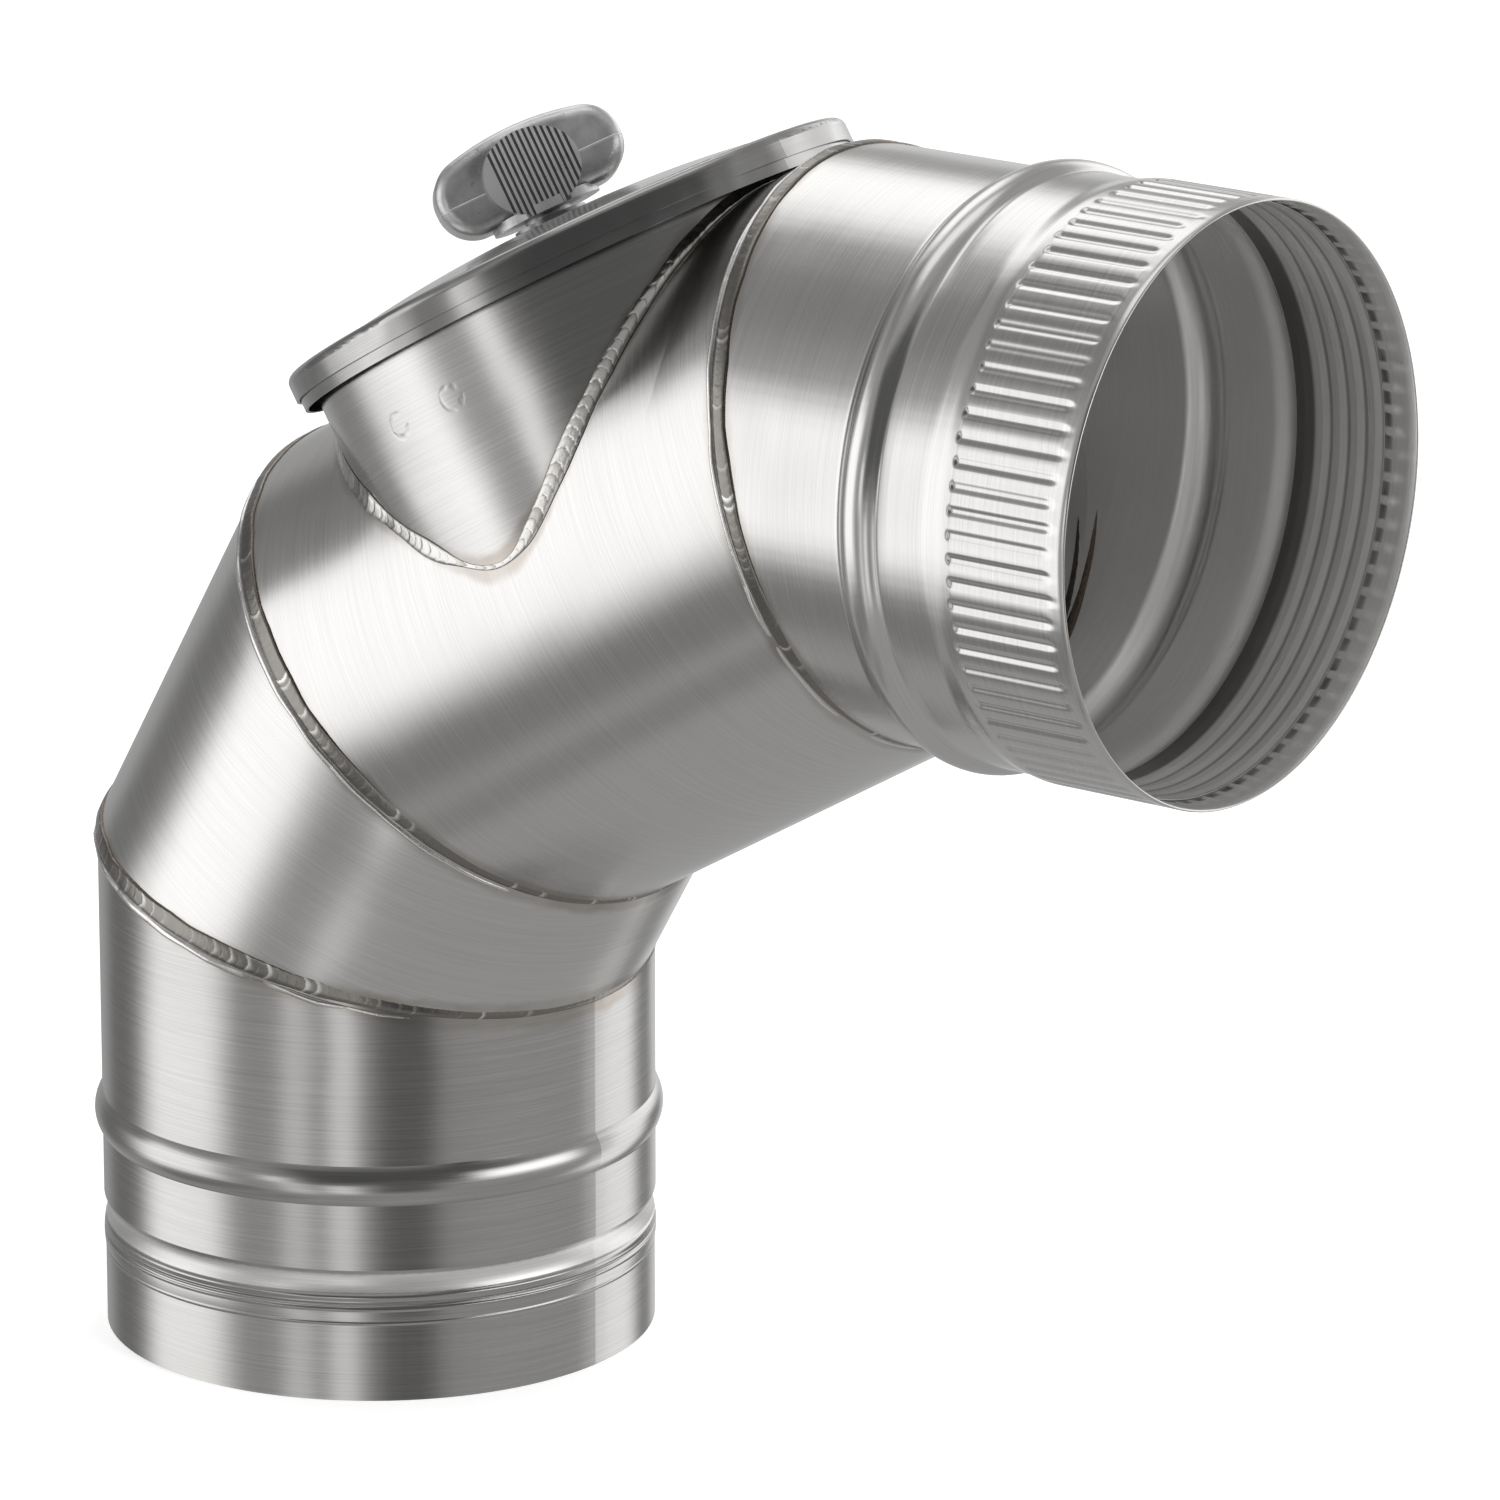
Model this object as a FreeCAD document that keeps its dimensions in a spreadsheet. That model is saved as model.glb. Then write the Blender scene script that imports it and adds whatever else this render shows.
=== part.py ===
import FreeCAD, Part
import math
import os
import re
import Sketcher

# Stainless flue elbow: four mitred tube pieces bend 90 degrees in the XZ plane.
# The spigot stands on Z with its rim at z = 0, the socket opens towards +X, and an
# inspection branch with a clamped cover stands on the outer side of the long gore.

# Driving dimensions in millimetres and degrees
sizes = {
    # tube run
    "pipe_od": 150,
    "sheet_wall": 0.8,
    "bend_step": 30,
    "spigot_leg": 123,
    "lower_run": 78,
    "centre_run": 160,
    "socket_leg": 105,
    # spigot end
    "spigot_step": 0.3,
    "seal_bead_start": 21.5,
    "seal_bead_width": 8,
    "seal_bead_rise": 0.4,
    "seal_groove_width": 7,
    "seal_groove_drop": 0.7,
    "stop_bead_height": 60,
    "stop_bead_width": 11,
    "stop_bead_rise": 2.1,
    # socket end
    "socket_bead_run": 41,
    "socket_bead_width": 12,
    "socket_bead_rise": 3,
    "neck_step": 1.05,
    "collar_step": 2.2,
    "collar_flare": 5.2,
    "collar_lip": 6,
    "flute_length": 29,
    "flute_count": 80,
    "flute_width": 5.2,
    "flute_depth": 0.65,
    "seal_ring_step": 0.3,
    "seal_ring_depth": 9.5,
    "seal_ring_width": 27,
    "seal_ring_folds": 5,
    "seal_ring_fold": 0.15,
    # weld seams
    "seam_width": 4.9,
    "seam_rise": 1.3,
    "saddle_weld": 2.6,
    "saddle_crown": 0.6,
    # inspection branch
    "branch_run": 83,
    "branch_roll": 3,
    "branch_step": 1.75,
    "branch_rise": 5.4,
    "lug_drop": 27.4,
    "lug_rise": 14,
    "lug_reach": 12.5,
    "lug_angle": 19,
    "lug_wall": 1.5,
    # cover
    "cover_shift": 1.8,
    "cover_overhang": 4.85,
    "cover_rim": 7,
    "cover_rise": 6.5,
    "cover_corner": 2.5,
    "cover_seat": 5.5,
    "boss_flat": 11,
    "gasket_thick": 4,
    "pan_skirt": 9.2,
    "pan_depth": 8,
    "pan_clearance": 0.9,
    # knob and clamp
    "stud_od": 8,
    "stud_tail": 1.35,
    "washer_od": 20,
    "washer_thick": 2,
    "knob_angle": 45,
    "knob_length": 52,
    "knob_width": 20,
    "knob_height": 23,
    "knob_corner": 10,
    "knob_crown": 2,
    "knob_round": 4,
    "hub_od": 30,
    "hub_height": 2.4,
    "hub_lip": 1.4,
    "boss_od": 13,
    "boss_height": 1,
    "pad_span": 29,
    "pad_width": 26.1,
    "pad_height": 22,
    "pad_chord_across": 15.6,
    "pad_chord_up": 18,
    "pad_root": 1,
    "pad_drop": 1.9,
    "pad_draft": 3,
    "rib_count": 14,
    "rib_pitch": 1.55,
    "rib_gap": 0.75,
    "rib_depth": 0.6,
    "rib_shift": 1.3,
    "stud_insert": 12,
    "clip_od": 13,
    "clip_thick": 0.8,
    "bar_end_gap": 4,
    "bar_width": 22,
    "bar_thick": 3,
    "bar_drop": 0.3,
    "nut_flats": 13,
    "nut_height": 6.5,
    "nut_collar": 12,
    "nut_flange": 16,
    "thread_pitch": 1.25,
    "clamp_turns": 3,
    # fits
    "running_gap": 0.3,
    "thread_gap": 0.3,
    "seat_gap": 0.05,
}

# Named relations between the driving dimensions
relations = {
    "pipe_radius": "pipe_od / 2",
    "spigot_radius": "(pipe_radius - spigot_step)",
    "mitre": "(bend_step / 2)",
    "mitre_rise": "(pipe_radius * tan(bend_step / 2) + sheet_wall)",
    "neck_radius": "(pipe_radius + neck_step)",
    "collar_radius": "(pipe_radius + collar_step)",
    "ridge_radius": "(collar_radius - sheet_wall - flute_depth)",
    "ridge_root": "(collar_radius - (sheet_wall + flute_depth) / 2)",
    "flute_end": "(socket_leg - collar_lip)",
    "ring_end": "(socket_leg - seal_ring_depth)",
    "ring_bore": "(pipe_radius + seal_ring_step)",
    "branch_radius": "(pipe_radius - branch_step)",
    "branch_bore": "(branch_radius - sheet_wall)",
    "branch_height": "(pipe_radius + branch_rise)",
    "lug_height": "(branch_height - lug_drop)",
    "web_top": "(branch_height + gasket_thick + sheet_wall)",
    "rim_top": "(web_top + sheet_wall)",
    "dome_top": "(rim_top + cover_rise)",
    "cover_radius": "(branch_radius + cover_shift + cover_overhang)",
    "skirt_radius": "(cover_radius - sheet_wall - running_gap)",
    "cup_radius": "(branch_bore - cover_shift - pan_clearance)",
    "pan_floor": "(branch_height + gasket_thick - pan_depth)",
    "stud_radius": "stud_od / 2",
    "stud_hole": "(stud_radius + running_gap)",
    "knob_seat": "(dome_top + washer_thick + running_gap)",
    "hub_low": "(knob_seat + boss_height)",
    "grip_low": "(hub_low + hub_lip)",
    "grip_top": "(grip_low + knob_height)",
    "pad_middle": "(grip_low + knob_height / 2 - pad_drop)",
    "stud_top": "(knob_seat + stud_insert)",
    "clamp_travel": "(thread_pitch * clamp_turns)",
    "bar_top": "(lug_height - bar_drop - clamp_travel)",
    "bar_reach": "(branch_bore - cover_shift - bar_end_gap)",
    "nut_top": "(bar_top - bar_thick - running_gap)",
    "stud_low": "(nut_top - nut_height - stud_tail)",
}

names = re.compile(r"[a-z_]+")
doc = FreeCAD.newDocument("flue_elbow")
sheet = doc.addObject("Spreadsheet::Sheet", "Sizes")


def spell(text):
    """Write a size expression out with the sheet's own cell names."""
    def word(match):
        name = match.group()
        if name in relations:
            return "(" + spell(relations[name]) + ")"
        if name in sizes:
            return "Sizes." + name
        return name
    return names.sub(word, text)


def value(text):
    return float(sheet.evalExpression(spell(text)))


def tie(thing, prop, text):
    thing.setExpression(prop, spell(text))


def new_body(name, place=None):
    body = doc.addObject("PartDesign::Body", name)
    body.Label = name
    if place:
        tie(body, "Placement", place)
    return body


def origin_item(body, role):
    return [item for item in body.Origin.OriginFeatures if item.Role == role][0]


def new_sketch(body, name, plane, shift=None):
    sketch = body.newObject("Sketcher::SketchObject", name)
    sketch.AttachmentSupport = [(origin_item(body, plane), "")]
    sketch.MapMode = "FlatFace"
    if shift:
        tie(sketch, "AttachmentOffset", shift)
    return sketch


def pin_point(sketch, edge, end, label, across, up):
    """Hold one point of a sketch at (across, up), both of them size expressions."""
    for kind, text, axis in (("DistanceX", across, -2), ("DistanceY", up, -1)):
        if text == "0":
            sketch.addConstraint(Sketcher.Constraint("PointOnObject", edge, end, axis))
            continue
        held = Sketcher.Constraint(kind, -1, 1, edge, end, value(text))
        number = sketch.addConstraint(held)
        sketch.renameConstraint(number, kind[-1].lower() + "_" + label)
        tie(sketch, "Constraints." + kind[-1].lower() + "_" + label, text)


def outline(body, name, plane, corners, bends=None, shift=None):
    """Closed outline through corners; bends maps a corner to (radius, side) of the
    arc that leaves it, with side 1 for an arc to the left of the run and -1 for one
    to the right. The radius "half" makes a half circle on an upright chord."""
    sketch = new_sketch(body, name, plane, shift)
    bends = bends or {}
    points = [FreeCAD.Vector(value(x), value(y), 0) for x, y in corners]
    starts = []
    for index, start in enumerate(points):
        end = points[(index + 1) % len(points)]
        if index not in bends:
            edge = sketch.addGeometry(Part.LineSegment(start, end), False)
            starts.append((edge, 1, 2))
            continue
        side = bends[index][1]
        chord = end - start
        half = chord.Length / 2
        radius = half if bends[index][0] == "half" else value(bends[index][0])
        rise = radius - math.sqrt(max(radius * radius - half * half, 0))
        left = FreeCAD.Vector(-chord.y, chord.x, 0) * (side * rise / chord.Length)
        edge = sketch.addGeometry(Part.Arc(start, start + chord * 0.5 + left, end), False)
        first = 1 if (sketch.getPoint(edge, 1) - start).Length < 1e-6 else 2
        starts.append((edge, first, 3 - first))
    for index, (edge, first, last) in enumerate(starts):
        after = starts[(index + 1) % len(starts)]
        sketch.addConstraint(Sketcher.Constraint("Coincident", edge, last, after[0], after[1]))
    for index, (edge, first, last) in enumerate(starts):
        pin_point(sketch, edge, first, str(index), *corners[index])
        if index not in bends:
            continue
        if bends[index][0] == "half":
            text = corners[index][0]
            held = Sketcher.Constraint("DistanceX", -1, 1, edge, 3, value(text))
        else:
            text = bends[index][0]
            held = Sketcher.Constraint("Radius", edge, value(text))
        number = sketch.addConstraint(held)
        sketch.renameConstraint(number, "r_" + str(index))
        tie(sketch, "Constraints.r_" + str(index), text)
    return sketch


def rings(body, name, plane, circles, shift=None):
    """Circles (across, up, radius) in one sketch."""
    sketch = new_sketch(body, name, plane, shift)
    for index, (across, up, radius) in enumerate(circles):
        middle = FreeCAD.Vector(value(across), value(up), 0)
        circle = Part.Circle(middle, FreeCAD.Vector(0, 0, 1), value(radius))
        edge = sketch.addGeometry(circle, False)
        pin_point(sketch, edge, 3, "c" + str(index), across, up)
        held = Sketcher.Constraint("Radius", edge, value(radius))
        number = sketch.addConstraint(held)
        sketch.renameConstraint(number, "r_" + str(index))
        tie(sketch, "Constraints.r_" + str(index), radius)
    return sketch


def feature(body, kind, name, sketch, length=None, **settings):
    made = body.newObject("PartDesign::" + kind, name)
    made.Profile = (sketch, [""])
    for key, setting in settings.items():
        setattr(made, key, setting)
    if length:
        tie(made, "Length", length)
    return made


def spun(body, name, sketch, kind="Revolution", axis="V_Axis", angle=None, **settings):
    """Revolution or Groove of a sketch round one of its own axes."""
    made = feature(body, kind, name, sketch, ReferenceAxis=(sketch, [axis]), **settings)
    made.Angle = 360
    if angle:
        tie(made, "Angle", angle)
    return made


def pattern(body, kind, name, originals, **settings):
    made = body.newObject("PartDesign::" + kind, name)
    made.Originals = originals
    for key, setting in settings.items():
        setattr(made, key, setting)
    body.Tip = made
    return made


def arc_radius(width, rise):
    """Radius of the arc over a chord, from the chord's width and the arc's rise."""
    return "((({0}) / 2)^2 + ({1})^2) / (2 * ({1}))".format(width, rise)


def wall(corners, bends):
    """Close a sheet wall: the outer line, then the same line one sheet inside it."""
    count = len(corners)
    inner = [("{} - sheet_wall".format(x), y) for x, y in reversed(corners)]
    both = dict(bends)
    for index, (radius, side) in bends.items():
        both[2 * count - 2 - index] = (radius, -side)
    return corners + inner, both


# Frames of the run: each mitre point lies on the axis, and the tube that follows it
# is turned by one more bend step.
run_one = ("0", "spigot_leg")
run_two = ("lower_run * sin(bend_step)", "spigot_leg + lower_run * cos(bend_step)")
run_three = (
    run_two[0] + " + centre_run * sin(2 * bend_step)",
    run_two[1] + " + centre_run * cos(2 * bend_step)",
)


def lifted(height):
    """Attachment offset of a sketch raised square to its plane."""
    return "placement(vector(0; 0; {}); rotation(vector(0; 0; 1); 0))".format(height)


def frame_at(point, turn, inner=""):
    """Placement at a mitre point, turned about Y, and then by inner rotations."""
    pattern_text = "placement(vector({}; 0; {}); rotation(vector(0; 1; 0); {}){})"
    return pattern_text.format(point[0], point[1], turn, inner)


lower_frame = frame_at(run_one, "bend_step")
centre_frame = frame_at(run_two, "2 * bend_step")
socket_frame = frame_at(run_three, "3 * bend_step")


def foot_at(run):
    """Point on the axis of the long gore, as far along as the run says."""
    return (run_two[0] + " + (" + run + ") * sin(2 * bend_step)",
            run_two[1] + " + (" + run + ") * cos(2 * bend_step)")


# The cover lies a little off the branch's axis, further along the gore, by its play.
branch_foot = foot_at("branch_run")
cover_foot = foot_at("branch_run + cover_shift")
branch_turn = " * rotation(vector(0; 0; 1); branch_roll) * rotation(vector(0; 1; 0); -90)"
branch_frame = frame_at(branch_foot, "2 * bend_step", branch_turn)
cover_frame = frame_at(cover_foot, "2 * bend_step", branch_turn)
knob_turn = branch_turn + " * rotation(vector(0; 0; 1); knob_angle)"
knob_frame = frame_at(cover_foot, "2 * bend_step", knob_turn)


def mitre_cut(body, name, height, upper):
    """Cut a tube along the mitre through (0, height) of its own frame."""
    start = "" if height == "0" else height + " "
    falling = start + "- pipe_od * tan(mitre)"
    rising = start + "+ pipe_od * tan(mitre)"
    far = start + ("+ pipe_od" if upper else "- pipe_od")
    corners = [
        ("-pipe_od", rising if upper else falling),
        ("pipe_od", falling if upper else rising),
        ("pipe_od", far),
        ("-pipe_od", far),
    ]
    sketch = outline(body, name + "_line", "XZ_Plane", corners)
    return feature(body, "Pocket", name, sketch, Type="ThroughAll", Midplane=True)


def spigot_tube():
    """Spigot with its seal bead and stop bead, mitred at the top."""
    body = new_body("spigot_tube")
    bead_end = "seal_bead_start + seal_bead_width"
    groove_end = bead_end + " + seal_groove_width"
    stop_low = "stop_bead_height - stop_bead_width / 2"
    stop_high = "stop_bead_height + stop_bead_width / 2"
    corners = [
        ("spigot_radius", "0"),
        ("spigot_radius", "seal_bead_start"),
        ("spigot_radius", bead_end),
        ("pipe_radius", groove_end),
        ("pipe_radius", stop_low),
        ("pipe_radius", stop_high),
        ("pipe_radius", "spigot_leg + mitre_rise"),
    ]
    bends = {
        1: (arc_radius("seal_bead_width", "seal_bead_rise"), -1),
        2: (arc_radius("seal_groove_width", "seal_groove_drop"), 1),
        4: (arc_radius("stop_bead_width", "stop_bead_rise"), -1),
    }
    corners, bends = wall(corners, bends)
    spun(body, "spigot_wall", outline(body, "spigot_line", "XZ_Plane", corners, bends))
    mitre_cut(body, "spigot_mitre", "spigot_leg", True)
    return body


def gore_body(name, place, run):
    """Plain tube piece between two mitres."""
    body = new_body(name, place)
    corners = [("pipe_radius", "-mitre_rise"), ("pipe_radius", run + " + mitre_rise")]
    corners, bends = wall(corners, {})
    spun(body, name + "_wall", outline(body, name + "_line", "XZ_Plane", corners, bends))
    mitre_cut(body, name + "_low", "0", False)
    mitre_cut(body, name + "_high", run, True)
    return body


def centre_gore():
    """Long gore with the oval opening of the inspection branch."""
    body = gore_body("centre_gore", centre_frame, "centre_run")
    shift = "placement(vector(0; 0; 0); rotation(vector(0; 1; 0); branch_roll))"
    hole = rings(body, "door_hole_line", "YZ_Plane", [("0", "branch_run", "branch_bore")], shift)
    feature(body, "Pocket", "door_hole", hole, "pipe_od", Type="Length")
    return body


def socket_tube():
    """Socket with its bead, flared neck and fluted collar."""
    body = new_body("socket_tube", socket_frame)
    bead_low = "socket_bead_run - socket_bead_width / 2"
    bead_high = "socket_bead_run + socket_bead_width / 2"
    flare_end = "flute_end - flute_length - collar_lip / 2"
    corners = [
        ("pipe_radius", "-mitre_rise"),
        ("pipe_radius", bead_low),
        ("neck_radius", bead_high),
        ("neck_radius", flare_end + " - collar_flare"),
        ("collar_radius", flare_end),
        ("collar_radius", "socket_leg"),
    ]
    bends = {1: (arc_radius("socket_bead_width", "socket_bead_rise"), -1)}
    corners, bends = wall(corners, bends)
    spun(body, "socket_wall", outline(body, "socket_line", "XZ_Plane", corners, bends))
    mitre_cut(body, "socket_mitre", "0", False)
    # Each flute is a pressed V: the groove outside, and its ridge inside the sheet.
    ridge_half = "flute_width * (sheet_wall + flute_depth) / (4 * flute_depth)"
    groove = [
        ("collar_radius - flute_depth", "0"),
        ("collar_radius + flute_depth", "flute_width"),
        ("collar_radius + flute_depth", "-flute_width"),
    ]
    ridge = [("ridge_radius", "0"), ("ridge_root", ridge_half), ("ridge_root", "-" + ridge_half)]
    sides = []
    for name, kind, corners, spare in (
        ("ridge", "Pad", ridge, " + sheet_wall"),
        ("flute", "Pocket", groove, ""),
    ):
        top = lifted("flute_end" + spare)
        sketch = outline(body, name + "_line", "XY_Plane", corners, None, top)
        sides.append(feature(body, kind, name, sketch, "flute_length" + 2 * spare,
                             Type="Length", Reversed=(kind == "Pad")))
    flutes = pattern(body, "PolarPattern", "flutes", sides,
                     Axis=(origin_item(body, "Z_Axis"), [""]), Angle=360)
    tie(flutes, "Occurrences", "flute_count")
    return body


def seal_ring():
    """Rolled ring held by the ridges of the collar, with shallow folds inside."""
    body = new_body("seal_ring", socket_frame)
    outer = "ridge_radius - seat_gap"
    inner = ("ring_bore + seal_ring_fold", "ring_bore")
    corners = [(outer, "ring_end - seal_ring_width"), (outer, "ring_end")]
    for step in range(2 * sizes["seal_ring_folds"] + 1):
        depth = "ring_end - seal_ring_width * {} / (2 * seal_ring_folds)".format(step)
        corners.append((inner[step % 2], depth))
    spun(body, "ring_wall", outline(body, "ring_line", "XZ_Plane", corners))
    return body


def seam(name, point, turns, core):
    """Weld bead round one mitre: a swept ring, cut to the two tubes under it."""
    place = frame_at(point, "{} * bend_step + mitre".format(turns))
    body = new_body(name + "_bead", place)
    path = new_sketch(body, name + "_path", "XY_Plane")
    high, wide = value("pipe_radius"), value("pipe_radius / cos(mitre)")
    ellipse = Part.Ellipse(FreeCAD.Vector(0, 0, 0), wide, high)
    edge = path.addGeometry(ellipse, False)
    path.exposeInternalGeometry(edge)
    path.addConstraint(Sketcher.Constraint("Coincident", edge, 3, -1, 1))
    path.addConstraint(Sketcher.Constraint("PointOnObject", edge + 1, 1, -1))
    for axis, kind, reach in ((1, "DistanceX", "pipe_radius / cos(mitre)"),
                              (2, "DistanceY", "pipe_radius")):
        place = path.getPoint(edge + axis, 1)
        end = place.x + place.y
        held = path.addConstraint(Sketcher.Constraint(kind, -1, 1, edge + axis, 1, end))
        path.renameConstraint(held, "reach_" + str(axis))
        tie(path, "Constraints.reach_" + str(axis), reach if end > 0 else "-(" + reach + ")")
    radius = arc_radius("seam_width", "seam_rise")
    middle = "pipe_radius / cos(mitre) + seam_rise - " + radius
    section = rings(body, name + "_section", "XZ_Plane", [(middle, "0", radius)])
    bead = body.newObject("PartDesign::AdditivePipe", name + "_sweep")
    bead.Profile = (section, [""])
    bead.Spine = (path, ["Edge1"])
    return trimmed(name, body, core)


def trimmed(name, base, core):
    """The base without what lies inside the core."""
    made = doc.addObject("Part::Cut", name)
    made.Base = base
    made.Tool = core
    made.Label = name
    return made


def core_body(name, place, low, high, mitres):
    """Solid stretch of the run, cut at its mitres."""
    body = new_body(name, place)
    corners = [("0", low), ("pipe_radius", low), ("pipe_radius", high), ("0", high)]
    spun(body, name + "_rod", outline(body, name + "_line", "XZ_Plane", corners))
    for count, (height, upper) in enumerate(mitres):
        mitre_cut(body, name + "_mitre_" + str(count), height, upper)
    return body


def run_core():
    """Everything inside the outer surface of the run, which trims the weld beads."""
    core = doc.addObject("Part::MultiFuse", "run_core")
    core.Shapes = [
        core_body("core_spigot", None, "0", "spigot_leg + mitre_rise", [("spigot_leg", True)]),
        core_body("core_lower", lower_frame, "-mitre_rise", "lower_run + mitre_rise",
                  [("0", False), ("lower_run", True)]),
        core_body("core_centre", centre_frame, "-mitre_rise", "centre_run + mitre_rise",
                  [("0", False), ("centre_run", True)]),
        core_body("core_socket", socket_frame, "-mitre_rise", "socket_leg", [("0", False)]),
    ]
    return core


def saddle_section(angle):
    """Section of the saddle weld, square to the saddle at one angle round the branch.
    Its corner is the point (b cos a, b sin a, sqrt(p^2 - (b sin a)^2)) where the branch
    of radius b meets the pipe of radius p. One leg runs down the pipe, the other up the
    branch, and a crowned arc joins their ends."""
    branch, pipe = value("branch_radius + seat_gap"), value("pipe_radius + seat_gap")
    leg, crown = value("saddle_weld"), value("saddle_crown")
    across = branch * math.sin(angle)
    rise = math.sqrt(pipe * pipe - across * across)
    corner = FreeCAD.Vector(branch * math.cos(angle), across, rise)
    pipe_normal = FreeCAD.Vector(0, across / pipe, rise / pipe)
    branch_normal = FreeCAD.Vector(math.cos(angle), math.sin(angle), 0)
    along = pipe_normal.cross(branch_normal).normalize()
    low = corner + along.cross(pipe_normal) * leg
    shrink = pipe / math.hypot(low.y, low.z)
    low = FreeCAD.Vector(low.x, low.y * shrink, low.z * shrink)
    high = corner + branch_normal.cross(along) * leg
    shrink = branch / math.hypot(high.x, high.y)
    high = FreeCAD.Vector(high.x * shrink, high.y * shrink, high.z)
    outward = (pipe_normal + branch_normal).normalize()
    middle = (low + high) * 0.5 + outward * crown
    edges = [Part.LineSegment(corner, low), Part.Arc(low, middle, high),
             Part.LineSegment(high, corner)]
    return Part.Wire([edge.toShape() for edge in edges])


def branch_weld():
    """Weld along the saddle, lofted through its sections."""
    steps = 96
    turns = [2 * math.pi * step / steps for step in range(steps)]
    bead = doc.addObject("Part::Feature", "branch_weld")
    bead.Shape = Part.makeLoft([saddle_section(turn) for turn in turns], True, True, True)
    bead.Label = "branch_weld"
    tie(bead, "Placement", branch_frame)
    return bead


def branch_tube():
    """Short branch, cut to the saddle of the long gore."""
    body = new_body("branch_tube", branch_frame)
    circles = [("0", "0", "branch_radius"), ("0", "0", "branch_bore")]
    feature(body, "Pad", "branch_wall", rings(body, "branch_line", "XY_Plane", circles),
            "branch_height", Type="Length")
    saddle = rings(body, "saddle_line", "YZ_Plane", [("0", "0", "pipe_radius")])
    feature(body, "Pocket", "saddle", saddle, Type="ThroughAll", Midplane=True)
    return body


def lug(name, turn):
    """Angle bracket inside the branch that the clamp bar pulls against."""
    place = frame_at(branch_foot, "2 * bend_step",
                     branch_turn + " * rotation(vector(0; 0; 1); {})".format(turn))
    body = new_body(name, place)
    back = "branch_bore - seat_gap"
    corners = [
        (back, "lug_height"),
        (back, "lug_height + lug_rise"),
        (back + " - lug_wall", "lug_height + lug_rise"),
        (back + " - lug_wall", "lug_height + lug_wall"),
        (back + " - lug_reach", "lug_height + lug_wall"),
        (back + " - lug_reach", "lug_height"),
    ]
    spun(body, name + "_bent", outline(body, name + "_line", "XZ_Plane", corners),
         angle="lug_angle", Midplane=True)
    return body


def cover_shell():
    """Pressed cover: flat boss, shallow dome, rounded corner and rim."""
    body = new_body("cover_shell", cover_frame)
    turn_in = "cover_radius - cover_corner"
    seat = turn_in + " - cover_seat"
    low = "rim_top - cover_rim"
    dome = "((({0}) - boss_flat)^2 + cover_rise^2) / (2 * cover_rise)".format(seat)
    corners = [
        ("stud_hole", "dome_top"),
        ("boss_flat", "dome_top"),
        (seat, "rim_top"),
        (turn_in, "rim_top"),
        ("cover_radius", "rim_top - cover_corner"),
        ("cover_radius", low),
        ("cover_radius - sheet_wall", low),
        ("cover_radius - sheet_wall", "rim_top - cover_corner"),
        (turn_in, "rim_top - sheet_wall"),
        (seat, "rim_top - sheet_wall"),
        ("boss_flat", "dome_top - sheet_wall"),
        ("stud_hole", "dome_top - sheet_wall"),
    ]
    bends = {
        1: (dome, 1),
        3: ("cover_corner", 1),
        7: ("cover_corner - sheet_wall", -1),
        9: (dome, -1),
    }
    spun(body, "cover_wall", outline(body, "cover_line", "XZ_Plane", corners, bends))
    return body


def cover_pan():
    """Inner pan: skirt outside the branch, channel for the gasket and cup inside."""
    body = new_body("cover_pan", cover_frame)
    low = "web_top - pan_skirt"
    turn_in = "skirt_radius - cover_corner + sheet_wall"
    turn_low = "web_top - cover_corner + sheet_wall"
    corners = [
        ("stud_hole", "pan_floor"),
        ("cup_radius", "pan_floor"),
        ("cup_radius", "web_top - sheet_wall"),
        (turn_in, "web_top - sheet_wall"),
        ("skirt_radius - sheet_wall", turn_low),
        ("skirt_radius - sheet_wall", low),
        ("skirt_radius", low),
        ("skirt_radius", turn_low),
        (turn_in, "web_top"),
        ("cup_radius - sheet_wall", "web_top"),
        ("cup_radius - sheet_wall", "pan_floor + sheet_wall"),
        ("stud_hole", "pan_floor + sheet_wall"),
    ]
    bends = {3: ("cover_corner - 2 * sheet_wall", 1), 7: ("cover_corner - sheet_wall", -1)}
    spun(body, "pan_wall", outline(body, "pan_line", "XZ_Plane", corners, bends))
    return body


def flat_ring(name, place, low, high, inner, outer):
    """Plain ring of rectangular section."""
    body = new_body(name, place)
    corners = [(inner, low), (outer, low), (outer, high), (inner, high)]
    spun(body, name + "_ring", outline(body, name + "_line", "XZ_Plane", corners))
    return body


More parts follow.
